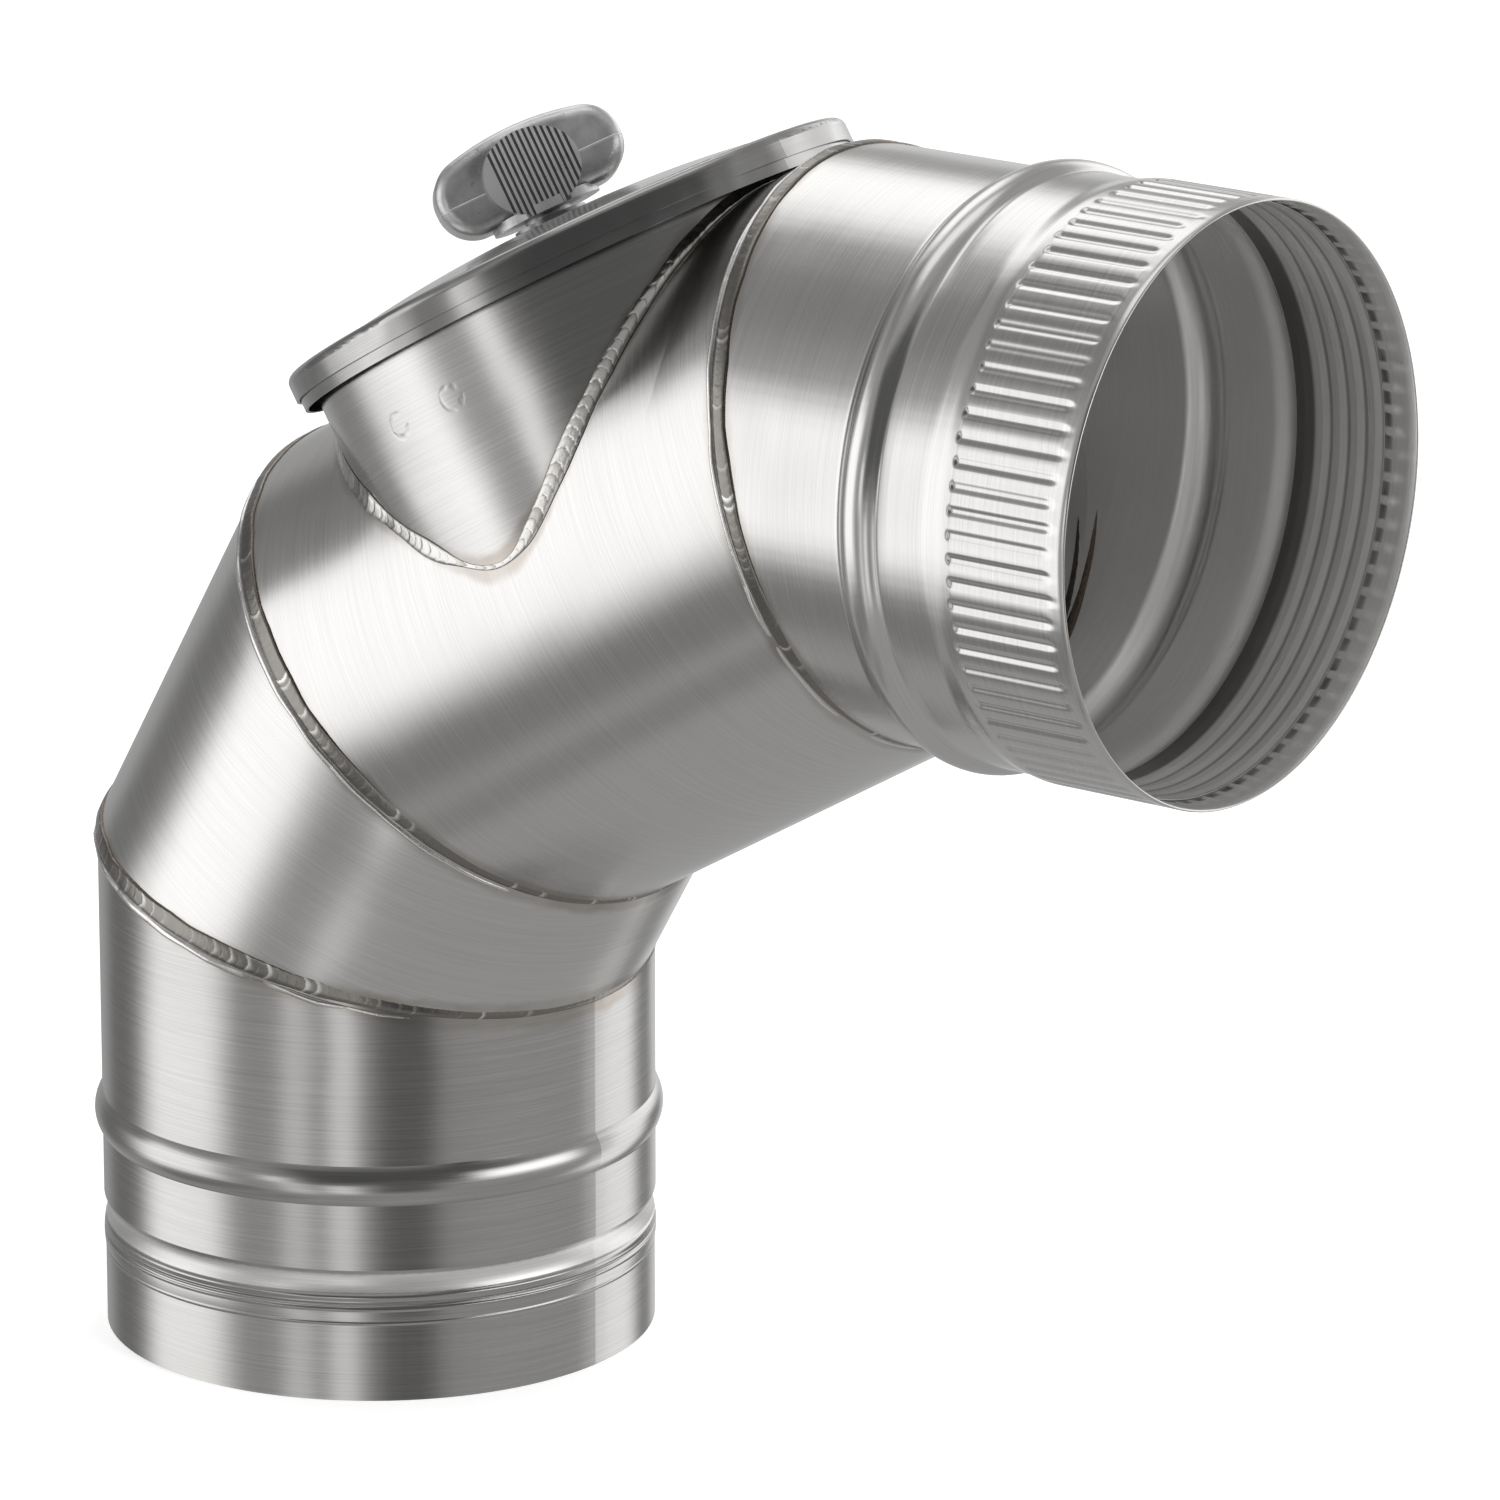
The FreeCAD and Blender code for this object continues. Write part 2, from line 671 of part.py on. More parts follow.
def knob():
    """Cast knob: two rounded lobes over a round hub, with a ribbed pad on each side."""
    body = new_body("knob", knob_frame)
    end = "knob_length / 2"
    flat = end + " - knob_corner"
    drop = "(knob_corner + knob_crown)"
    crown = "((({0})^2 + {1}^2 - knob_corner^2) / (2 * knob_crown))".format(flat, drop)
    shrink = "({0} / ({0} - knob_corner))".format(crown)
    crown_x = "({}) * {}".format(flat, shrink)
    crown_z = "grip_top - {0} + ({0} - {1}) * {2}".format(crown, drop, shrink)
    corners = [
        ("-(" + flat + ")", "grip_low"),
        (flat, "grip_low"),
        (end, "grip_low + knob_corner"),
        (end, "grip_top - " + drop),
        (crown_x, crown_z),
        ("-(" + crown_x + ")", crown_z),
        ("-(" + end + ")", "grip_top - " + drop),
        ("-(" + end + ")", "grip_low + knob_corner"),
    ]
    corner = ("knob_corner", -1)
    bends = {1: corner, 3: corner, 4: (crown, -1), 5: corner, 7: corner}
    side = outline(body, "grip_line", "XZ_Plane", corners, bends)
    grip = feature(body, "Pad", "grip", side, "knob_width", Type="Length", Midplane=True)
    doc.recompute()
    rims = []
    for index, edge in enumerate(grip.Shape.Edges, 1):
        depths = [vertex.Y for vertex in edge.Vertexes]
        if max(depths) - min(depths) < 1e-6:
            rims.append("Edge" + str(index))
    rounded = body.newObject("PartDesign::Fillet", "grip_round")
    rounded.Base = (grip, rims)
    tie(rounded, "Radius", "knob_round")
    for name, low, wide, height in (
        ("hub", "hub_low", "hub_od / 2", "hub_height"),
        ("boss", "knob_seat", "boss_od / 2", "boss_height + hub_height"),
    ):
        plan = rings(body, name + "_line", "XY_Plane", [("0", "0", wide)], lifted(low))
        feature(body, "Pad", name, plan, height, Type="Length")
    across, up = "pad_chord_across / 2", "pad_chord_up / 2"
    corners = [
        ("-" + across, "pad_middle - " + up),
        (across, "pad_middle - " + up),
        (across, "pad_middle + " + up),
        ("-" + across, "pad_middle + " + up),
    ]
    flat_bend = (arc_radius("pad_chord_across", "(pad_height - pad_chord_up) / 2"), -1)
    side_bend = (arc_radius("pad_chord_up", "(pad_width - pad_chord_across) / 2"), -1)
    bends = {0: flat_bend, 1: side_bend, 2: flat_bend, 3: side_bend}
    shift = lifted("pad_span / 2")
    oval = outline(body, "pad_line", "XZ_Plane", corners, bends, shift)
    depth = "pad_span / 2 - pad_root"
    front = feature(body, "Pad", "pad", oval, depth, Type="Length", Reversed=True)
    tie(front, "TaperAngle", "pad_draft")
    twin = pattern(body, "PolarPattern", "pads", [front],
                   Axis=(origin_item(body, "Z_Axis"), [""]), Angle=360, Occurrences=2)
    start = "rib_shift - (rib_count - 1) / 2 * rib_pitch - rib_gap / 2"
    low, high = "pad_middle - pad_height", "pad_middle + pad_height"
    corners = [(start, low), (start + " + rib_gap", low), (start + " + rib_gap", high),
               (start, high)]
    slot = outline(body, "rib_line", "XZ_Plane", corners, None, shift)
    first = feature(body, "Pocket", "rib_cut", slot, "rib_depth", Type="Length")
    return body, twin, first


def finish_knob(body, twin, first):
    """Repeat the rib cut along the pad and on the far side, and bore the stud's hole."""
    many = body.newObject("PartDesign::MultiTransform", "ribs")
    many.Originals = [first]
    row = body.newObject("PartDesign::LinearPattern", "rib_row")
    row.Direction = (origin_item(body, "X_Axis"), [""])
    tie(row, "Length", "(rib_count - 1) * rib_pitch")
    tie(row, "Occurrences", "rib_count")
    both = body.newObject("PartDesign::PolarPattern", "rib_sides")
    both.Axis = (origin_item(body, "Z_Axis"), [""])
    both.Angle = 360
    both.Occurrences = 2
    many.Transformations = [row, both]
    body.Tip = many
    hole = rings(body, "stud_hole_line", "XY_Plane", [("0", "0", "stud_radius + seat_gap")],
                 lifted("knob_seat"))
    feature(body, "Pocket", "stud_bore", hole, "stud_insert", Type="Length", Reversed=True)


def knob_stud():
    """Threaded stud below the knob, with the groove of its clip."""
    body = new_body("knob_stud", cover_frame)
    clip_top = "pan_floor - running_gap"
    groove = "stud_radius - clip_thick / 2"
    corners = [
        ("0", "stud_low"),
        ("stud_radius", "stud_low"),
        ("stud_radius", clip_top + " - clip_thick - seat_gap"),
        (groove, clip_top + " - clip_thick - seat_gap"),
        (groove, clip_top + " + seat_gap"),
        ("stud_radius", clip_top + " + seat_gap"),
        ("stud_radius", "stud_top"),
        ("0", "stud_top"),
    ]
    spun(body, "stud_rod", outline(body, "stud_line", "XZ_Plane", corners))
    return body


def clamp_nut():
    """Hexagon nut with a collar that carries the clamp bar and a peened flange."""
    body = new_body("clamp_nut", cover_frame)
    low = "nut_top - nut_height"
    corners = []
    for step in range(6):
        angle = 60 * step + 30
        across = "nut_flats / 2 / cos(30) * cos({})".format(angle)
        up = "nut_flats / 2 / cos(30) * sin({})".format(angle)
        corners.append(("0" if angle in (90, 270) else across, up))
    plan = outline(body, "hexagon_line", "XY_Plane", corners, None, lifted(low))
    feature(body, "Pad", "hexagon", plan, "nut_height", Type="Length")
    flange_low = "bar_top + running_gap"
    corners = [
        ("0", low),
        ("nut_collar / 2", low),
        ("nut_collar / 2", flange_low),
        ("nut_flange / 2", flange_low),
        ("nut_flange / 2", flange_low + " + sheet_wall"),
        ("0", flange_low + " + sheet_wall"),
    ]
    spun(body, "collar", outline(body, "collar_line", "XZ_Plane", corners))
    bore = rings(body, "nut_bore_line", "XY_Plane", [("0", "0", "stud_radius + thread_gap")])
    feature(body, "Pocket", "nut_bore", bore, Type="ThroughAll", Midplane=True)
    return body


def clamp_bar():
    """Flat bar with rounded ends, loose on the nut's collar."""
    body = new_body("clamp_bar", cover_frame)
    end = "bar_reach - bar_width / 2"
    lift = lifted("bar_top - bar_thick")
    corners = [
        ("-(" + end + ")", "-bar_width / 2"),
        (end, "-bar_width / 2"),
        (end, "bar_width / 2"),
        ("-(" + end + ")", "bar_width / 2"),
    ]
    bends = {1: ("half", -1), 3: ("half", -1)}
    plan = outline(body, "bar_line", "XY_Plane", corners, bends, lift)
    feature(body, "Pad", "bar_plate", plan, "bar_thick", Type="Length")
    hole = rings(body, "bar_hole_line", "XY_Plane", [("0", "0", "nut_collar / 2 + running_gap")])
    feature(body, "Pocket", "bar_hole", hole, Type="ThroughAll", Midplane=True)
    return body


def fill_sheet():
    for row, (name, number) in enumerate(sizes.items(), 1):
        sheet.set("A" + str(row), name)
        sheet.set("B" + str(row), str(number))
        sheet.setAlias("B" + str(row), name)
    doc.recompute()


fill_sheet()
pieces = [spigot_tube(), gore_body("lower_gore", lower_frame, "lower_run"), centre_gore()]
pieces += [socket_tube(), seal_ring()]
core = run_core()
pieces += [seam("seam_lower", run_one, 0, core), seam("seam_middle", run_two, 1, core)]
pieces += [seam("seam_upper", run_three, 2, core), branch_tube(), branch_weld()]
pieces += [lug("lug_front", -90), lug("lug_back", 90)]
pieces += [cover_shell(), cover_pan()]
pieces.append(flat_ring("cover_gasket", cover_frame, "branch_height",
                        "branch_height + gasket_thick", "cup_radius + running_gap",
                        "skirt_radius - cover_corner + sheet_wall"))
pieces.append(flat_ring("knob_washer", cover_frame, "dome_top", "dome_top + washer_thick",
                        "stud_hole", "washer_od / 2"))
knob_parts = knob()
finish_knob(*knob_parts)
pieces += [knob_parts[0], knob_stud()]
pieces.append(flat_ring("stud_clip", cover_frame, "pan_floor - running_gap - clip_thick",
                        "pan_floor - running_gap",
                        "stud_radius - clip_thick / 2 + seat_gap", "clip_od / 2"))
pieces += [clamp_nut(), clamp_bar()]
doc.recompute()

for item in doc.Objects:
    if "Invalid" in item.State or "Error" in item.State:
        raise RuntimeError(item.Name + " did not build: " + str(item.State))
os.makedirs("parts", exist_ok=True)
for piece in pieces:
    shape = piece.Shape
    if shape.isNull() or not shape.isValid() or len(shape.Solids) != 1:
        raise RuntimeError(piece.Label + " is not one sound solid")
    shape.exportStep("parts/" + piece.Label + ".step")
    print(piece.Label, round(shape.Volume), "mm3")
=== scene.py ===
import bpy
import math
import numpy as np
from mathutils import Matrix, Vector


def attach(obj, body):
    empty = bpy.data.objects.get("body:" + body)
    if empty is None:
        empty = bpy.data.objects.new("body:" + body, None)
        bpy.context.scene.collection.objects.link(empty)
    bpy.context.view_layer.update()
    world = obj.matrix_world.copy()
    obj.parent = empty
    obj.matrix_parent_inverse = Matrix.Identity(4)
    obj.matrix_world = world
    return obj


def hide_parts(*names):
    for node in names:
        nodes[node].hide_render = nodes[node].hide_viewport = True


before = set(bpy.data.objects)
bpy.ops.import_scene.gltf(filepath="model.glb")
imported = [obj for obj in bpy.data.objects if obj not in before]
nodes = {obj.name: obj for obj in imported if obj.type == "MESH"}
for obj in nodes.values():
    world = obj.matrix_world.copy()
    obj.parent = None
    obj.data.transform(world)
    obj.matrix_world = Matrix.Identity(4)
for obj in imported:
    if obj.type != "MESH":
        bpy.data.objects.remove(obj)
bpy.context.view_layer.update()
mm = 0.001

# the run of the elbow in millimetres and degrees, as the solids have it
run = dict(pipeRadius=75, sheet=0.8, bendStep=30, spigotLeg=123, lowerRun=78, centreRun=160,
           socketLeg=105, branchRun=83, branchRoll=3, branchRadius=73.25, coverShift=1.8,
           knobAngle=45)


# a turn about the Y axis, by the right-hand rule
def turnY(degrees):
    angle = math.radians(degrees)
    return np.array([[math.cos(angle), 0, math.sin(angle)], [0, 1, 0],
                     [-math.sin(angle), 0, math.cos(angle)]])


# a turn about the Z axis, by the right-hand rule
def turnZ(degrees):
    angle = math.radians(degrees)
    return np.array([[math.cos(angle), -math.sin(angle), 0],
                     [math.sin(angle), math.cos(angle), 0], [0, 0, 1]])


# each place is an origin in metres and a turn whose third column is the tube's axis
def tubePlaces(values):
    step = values["bendStep"]
    spigot = (np.zeros(3), turnY(0))
    lower = (np.array([0, 0, values["spigotLeg"] * mm]), turnY(step))
    centre = (lower[0] + lower[1][:, 2] * values["lowerRun"] * mm, turnY(2 * step))
    socket = (centre[0] + centre[1][:, 2] * values["centreRun"] * mm, turnY(3 * step))
    foot = centre[0] + centre[1][:, 2] * values["branchRun"] * mm
    branch = (foot, centre[1] @ turnZ(values["branchRoll"]) @ turnY(-90))
    cover = (foot + centre[1][:, 2] * values["coverShift"] * mm, branch[1])
    knob = (cover[0], branch[1] @ turnZ(values["knobAngle"]))
    return dict(spigot=spigot, lower=lower, centre=centre, socket=socket, branch=branch,
                cover=cover, knob=knob)


places = tubePlaces(run)
mitreLean = math.radians(run["bendStep"] / 2)  # of a mitre against the section of its tubes
print("places worked out")


# one socket of a node tree, with Python's operators for Math nodes
class Signal:
    def __init__(self, tree, socket):
        self.tree = tree
        self.socket = socket

    def math(self, operation, *others):
        values = {0: self}
        for index, other in enumerate(others, 1):
            values[index] = other
        return self.tree.add("ShaderNodeMath", dict(operation=operation), values)

    def __add__(self, other):
        return self.math("ADD", other)

    def __radd__(self, other):
        return self.math("ADD", other)

    def __sub__(self, other):
        return self.math("SUBTRACT", other)

    def __rsub__(self, other):
        return self.math("MULTIPLY", -1) + other

    def __mul__(self, other):
        return self.math("MULTIPLY", other)

    def __rmul__(self, other):
        return self.math("MULTIPLY", other)

    def __abs__(self):
        return self.math("ABSOLUTE")

    # 0 at low and 1 at high, smooth between; low may be the greater
    def ramp(self, low, high):
        settings = dict(interpolation_type="SMOOTHSTEP")
        return self.tree.add("ShaderNodeMapRange", settings,
                             {"Value": self, "From Min": low, "From Max": high})


# a node tree with one method that adds any node
class Tree:
    def __init__(self, tree):
        self.tree = tree

    def add(self, kind, settings=None, values=None, output=0):
        node = self.tree.nodes.new(kind)
        for name, setting in (settings or {}).items():
            setattr(node, name, setting)
        for name, value in (values or {}).items():
            if isinstance(value, Signal):
                self.tree.links.new(value.socket, node.inputs[name])
            else:
                node.inputs[name].default_value = value
        return Signal(self, node.outputs[output])

    # picks between two colours by a mask
    def mix(self, mask, first, second):
        values = {0: mask, 6: first, 7: second}
        return self.add("ShaderNodeMix", dict(data_type="RGBA"), values, output=2)

    def noise(self, vector, scale, detail=2.0, roughness=0.5):
        values = {"Vector": vector, "Scale": scale, "Detail": detail, "Roughness": roughness}
        return self.add("ShaderNodeTexNoise", None, values)

    # a number that is kept on each point of the piece
    def number(self, name):
        return self.add("ShaderNodeAttribute", dict(attribute_name=name), None, output=2)

    def objectPoint(self):
        return self.add("ShaderNodeTexCoord", None, None, output=3)

    # Object coordinates seen from a place: x and y across its axis, z along it
    def localPoint(self, place):
        origin, turn = place
        inverse = Matrix(turn.T.tolist())
        values = {"Vector": self.objectPoint(), "Location": inverse @ Vector((-origin).tolist()),
                  "Rotation": inverse.to_euler()}
        return self.add("ShaderNodeMapping", dict(vector_type="POINT"), values)

    def split(self, vector):
        node = self.tree.nodes.new("ShaderNodeSeparateXYZ")
        self.tree.links.new(vector.socket, node.inputs[0])
        return [Signal(self, output) for output in node.outputs]

    def joined(self, x, y, z):
        return self.add("ShaderNodeCombineXYZ", None, {0: x, 1: y, 2: z})

    # one number from two vectors
    def measure(self, operation, vector, other):
        values = {0: vector, 1: Vector(other)}
        return self.add("ShaderNodeVectorMath", dict(operation=operation), values, output=1)

    def dot(self, vector, direction):
        return self.measure("DOT_PRODUCT", vector, direction)

    def distance(self, vector, point):
        return self.measure("DISTANCE", vector, point)

    def bump(self, height, distance, strength=1.0, below=None):
        values = {"Strength": strength, "Distance": distance, "Height": height}
        if below is not None:
            values["Normal"] = below
        return self.add("ShaderNodeBump", None, values)


# a new material with its shader; values are set on the shader's own sockets
def newMaterial(name, shaderValues):
    material = bpy.data.materials.new(name)
    material.use_nodes = True
    tree = Tree(material.node_tree)
    shader = material.node_tree.nodes["Principled BSDF"]
    for socket, value in shaderValues.items():
        shader.inputs[socket].default_value = value
    return material, tree, shader


# links signals to the shader's sockets, whose spaces are written as underscores
def feed(tree, shader, **links):
    for name, signal in links.items():
        tree.tree.links.new(signal.socket, shader.inputs[name.replace("_", " ")])


# each mitre is a place too: a point on the axis and a turn halfway between its two tubes
def mitrePlace(index):
    origin = places[("lower", "centre", "socket")[index]][0]
    return origin, turnY((index + 0.5) * run["bendStep"])


mitres = [mitrePlace(index) for index in range(3)]


# how far a point is from a mitre plane, in metres
def mitreDistance(tree, point, index):
    origin, turn = mitres[index]
    normal = turn[:, 2]
    return abs(tree.dot(point, normal) - float(np.dot(origin, normal)))


# how far a point is from the saddle, the curve (b cos a, b sin a, sqrt(p^2 - (b sin a)^2))
def saddleDistance(tree):
    x, y, z = tree.split(tree.localPoint(places["branch"]))
    pipe, branch = run["pipeRadius"] * mm, run["branchRadius"] * mm
    away = (x * x + y * y).math("SQRT")
    side = (y * branch).math("DIVIDE", away)
    rise = (pipe * pipe - side * side).math("MAXIMUM", 0).math("SQRT")
    return ((away - branch) * (away - branch) + (z - rise) * (z - rise)).math("SQRT")


# lines are noise scales across and along the tube; lengths are in metres
# the gap colour is painted shade, for the slits behind the ring and the valleys between its folds
brushed = dict(colour=(0.67, 0.66, 0.65, 1), shade=(0.58, 0.57, 0.56, 1),
               tint=(0.36, 0.31, 0.26, 1), inside=(0.74, 0.732, 0.72, 1),
               paintedGapShade=(0.05, 0.048, 0.045, 1), paintedGapShadeShare=0.85, roughness=0.2,
               insideRoughness=0.3, insideMetal=0.72, insideFade=0.0003,
               fineLines=(34, 5200), broadLines=(14, 1500), lineHeight=0.000018,
               cloudScale=13, buckleScale=34, buckleHeight=0.0009, buckleReach=0.03,
               buckleFull=0.004, tintScale=38, tintReach=0.0034, tintOut=0.0018,
               tintIn=0.0008, tintWander=0.004, wanderScale=90, markRadius=0.003,
               markHalf=0.0012, markCore=0.0001, markScale=240, markDepth=0.0001)


# painted shade in the valleys between the folds of a ring, and in the hollow behind it
def foldShadow(z, folds):
    count = (z * -1 + folds["end"] * mm) * (1 / (folds["pitch"] * mm))
    valley = abs((count + 0.5).math("FRACT") - 0.5).ramp(0.15, 0.03) * 0.6
    hollow = z.ramp(folds["hollow"] * mm, (folds["hollow"] - folds["fade"]) * mm)
    return valley.math("MAXIMUM", hollow)


# brushed sheet: fine lines round the tube, a brown tint and buckled metal beside the welds,
# and a duller mill finish inside. Inside is what lies under the wall's radius. A piece with
# no such radius keeps its own numbers for it, and for the painted shade in the slits behind the
# ring.
def brushedMaterial(name, place, mitreIndexes=(), saddle=False, marks=(), wallRadius=None,
                    folds=None, creases=(), values=brushed):
    material, tree, shader = newMaterial(name, {"Metallic": 1.0})
    point = tree.objectPoint()
    local = tree.localPoint(place)
    x, y, z = tree.split(local)
    across, along = values["fineLines"]
    fine = tree.noise(tree.joined(x * across, y * across, z * along), 1.0, 2.0, 0.7)
    across, along = values["broadLines"]
    broad = tree.noise(tree.joined(x * across, y * across, z * along), 1.0, 3.0, 0.6)
    cloud = tree.noise(local, values["cloudScale"], 3.0, 0.55)
    grain = fine * 0.6 + broad * 0.4
    colour = tree.mix(grain.ramp(0.3, 0.7), values["shade"], values["colour"])
    colour = tree.mix(cloud.ramp(0.5, 0.8) * 0.35, colour, values["shade"])
    buckle = tree.noise(local, values["buckleScale"], 1.0)
    away = [mitreDistance(tree, point, index) for index in mitreIndexes]
    if saddle:
        away.append(saddleDistance(tree))
    if away:
        near = away[0]
        for distance in away[1:]:
            near = near.math("MINIMUM", distance)
        wander = tree.noise(point, values["wanderScale"], 3.0) - 0.5
        reach = values["tintReach"]
        halo = (near + wander * values["tintWander"]).ramp(reach + values["tintOut"],
                                                           reach - values["tintIn"])
        patchy = tree.noise(point, values["tintScale"], 3.0).ramp(0.3, 0.75)
        colour = tree.mix(halo * (patchy * 0.55 + 0.25), colour, values["tint"])
        strong = near.ramp(values["buckleReach"], values["buckleFull"])
        buckle = buckle * (strong * 1.6 + 0.3)
    rough = values["roughness"] + (cloud - 0.5) * 0.1 + (grain - 0.5) * 0.12
    shape = tree.bump(buckle, values["buckleHeight"], 0.3)
    for mark in marks:
        ring = abs(tree.distance(point, mark) - values["markRadius"])
        dent = ring.ramp(values["markHalf"], values["markCore"])
        dent = dent * tree.noise(point, values["markScale"], 1.0).ramp(0.4, 0.6)
        shape = tree.bump(dent, -values["markDepth"], 0.5, shape)
        colour = tree.mix(dent * 0.25, colour, values["tint"])
    shape = tree.bump(grain, values["lineHeight"], 0.6, shape)
    for height, half, depth in creases:
        shape = tree.bump(abs(z - height * mm).ramp(half * mm, 0), depth * mm, 1.0, shape)
    dullInsideAndShade = tree.mix(grain.ramp(0.3, 0.7) * 0.5, values["inside"], values["shade"])
    if folds is not None:
        # painted shade in the valleys between the ring's folds and in the hollow behind it
        dullInsideAndShade = tree.mix(foldShadow(z, folds) * values["paintedGapShadeShare"], dullInsideAndShade, values["paintedGapShade"])
    if wallRadius is None:
        inner = tree.number("inside")
        # painted shade in the slits behind the ring
        dullInsideAndShade = tree.mix(tree.number("slitShade") * values["paintedGapShadeShare"], dullInsideAndShade, values["paintedGapShade"])
    else:
        limit = wallRadius * mm - values["insideFade"]
        inner = (x * x + y * y).math("SQRT").ramp(limit, limit - values["insideFade"])
    colour = tree.mix(inner, colour, dullInsideAndShade)
    rough = rough + inner * (values["insideRoughness"] - values["roughness"])
    feed(tree, shader, Base_Color=colour, Roughness=rough, Normal=shape,
         Metallic=1 - inner * (1 - values["insideMetal"]))
    return material


# the branch's weld, and the seams, whose brighter crowns are a painted highlight on the lip and
# ripple tops
weldFinish = dict(crown=(0.63, 0.62, 0.60, 1), valley=(0.27, 0.245, 0.22, 1),
                  edge=(0.16, 0.135, 0.11, 1), roughness=0.22, patchScale=260,
                  grainScale=700, grainHeight=0.0001)
seamFinish = dict(weldFinish, crown=(0.74, 0.73, 0.715, 1), valley=(0.24, 0.228, 0.212, 1),
                  edge=(0.15, 0.12, 0.095, 1), roughness=0.26)


# weld metal: bright crowns (on the seams a painted highlight), browner valleys and dark edges,
# from numbers kept on the piece
def weldMaterial(name, values):
    material, tree, shader = newMaterial(name, {"Metallic": 1.0})
    crown, edge = tree.number("crown"), tree.number("edge")
    point = tree.objectPoint()
    patchy = tree.noise(point, values["patchScale"], 3.0, 0.6)
    colour = tree.mix((crown + (patchy - 0.5) * 0.5).ramp(0.05, 0.6), values["valley"],
                      values["crown"])
    colour = tree.mix((edge + (patchy - 0.5) * 0.3).ramp(0.6, 0.95), colour, values["edge"])
    rough = values["roughness"] + (patchy - 0.5) * 0.25
    grain = tree.noise(point, values["grainScale"], 2.0)
    shape = tree.bump(grain, values["grainHeight"], 0.6)
    feed(tree, shader, Base_Color=colour, Roughness=rough, Normal=shape)
    return material


# a mesh from a grid of points (along, across, xyz), closed in both directions
def loopMesh(name, points, layers):
    rows, columns = points.shape[:2]
    index = np.arange(rows * columns).reshape(rows, columns)
    ahead = np.roll(index, -1, axis=0)
    beside, corner = np.roll(index, -1, axis=1), np.roll(ahead, -1, axis=1)
    faces = np.stack([index, ahead, corner, beside], axis=-1).reshape(-1, 4)
    mesh = bpy.data.meshes.new(name)
    mesh.from_pydata(points.reshape(-1, 3).tolist(), [], faces.tolist())
    for layerName, numbers in layers.items():
        layer = mesh.attributes.new(layerName, "FLOAT", "POINT")
        layer.data.foreach_set("value", numbers.reshape(-1).astype(np.float32))
    mesh.polygons.foreach_set("use_smooth", np.ones(len(mesh.polygons), bool))
    mesh.update()
    piece = bpy.data.objects.new(name, mesh)
    bpy.context.scene.collection.objects.link(piece)
    return piece


# places along a closed curve at even steps of its length, as values of its angle
def evenTurns(curve, pitch, perRipple, samples=6001):
    angles = np.linspace(0, 2 * np.pi, samples)
    steps = np.linalg.norm(np.diff(curve(angles), axis=0), axis=1)
    length = np.concatenate([[0], np.cumsum(steps)])
    count = int(round(length[-1] / pitch)) * perRipple
    even = np.linspace(0, length[-1], count, endpoint=False)
    return np.interp(even, length, angles), even


# wobble along the seam and lag of its edges are in pitches, and crest is a share of one
ripples = dict(knots=80, wobble=0.3, lag=0.6, weakest=0.35, strengths=4096, crest=0.1)


# ripples of a weld: the phase runs along the seam and lags at the edges, so that each
# ripple is a crescent, 1 at its crown and 0 in the valley behind it
def rippleField(lengths, side, pitch, seed, values=ripples):
    rng = np.random.default_rng(seed)
    knots = rng.normal(0, values["wobble"], values["knots"])
    knots[-1] = knots[0]
    wobble = np.interp(lengths, np.linspace(0, lengths[-1], len(knots)), knots)
    phase = lengths[:, None] / pitch + values["lag"] * side[None, :] ** 2 + wobble[:, None]
    whole = np.floor(phase)
    strengths = rng.uniform(values["weakest"], 1.0, values["strengths"])
    strength = strengths[whole.astype(int) % len(strengths)]
    fall = (1 + values["crest"]) * (phase - whole) - values["crest"]
    return np.sqrt(np.clip(1 - fall ** 2, 0, 1)) * strength


# slow changes of width and height along a closed seam, around 1
def slowDrift(count, size, seed, knotCount=60):
    rng = np.random.default_rng(seed)
    knots = rng.normal(0, size, knotCount)
    knots[-1] = knots[0]
    return 1 + np.interp(np.linspace(0, 1, count), np.linspace(0, 1, knotCount), knots)


# heights are in mm, and places across the seam are shares of its half width
seamForm = dict(ripplePitch=2.7, ripplesSampled=9, rippleRise=0.08, rippleMiddle=0.5,
                bandRise=0.5, bandLow=-0.36, lipRise=0.7, lipCentre=-0.70, lipHalf=0.28,
                edgeHalf=0.1, across=25, sink=0.35, proud=0.02, swell=0.12, lipSwell=0.35,
                lipRange=(0.3, 1.5), widthSwell=0.07, crestShine=0.55, seed=4)


# the seam's section at side -1 to 1: the place across the band, the heights of the band and
# the lip, and how near each place is to a dark edge
def seamSection(side, values):
    bandSide = (side - (1 + values["bandLow"]) / 2) / ((1 - values["bandLow"]) / 2)
    band = np.clip(1 - bandSide ** 6, 0, 1) ** 0.5 * (1 - 0.2 * bandSide ** 2)
    lip = np.clip(1 - ((side - values["lipCentre"]) / values["lipHalf"]) ** 2, 0, 1) ** 0.5
    groove = 1 - np.clip(np.abs(side - values["bandLow"]) / values["edgeHalf"], 0, 1)
    return bandSide, band, lip, np.maximum(np.abs(side), groove) ** 4


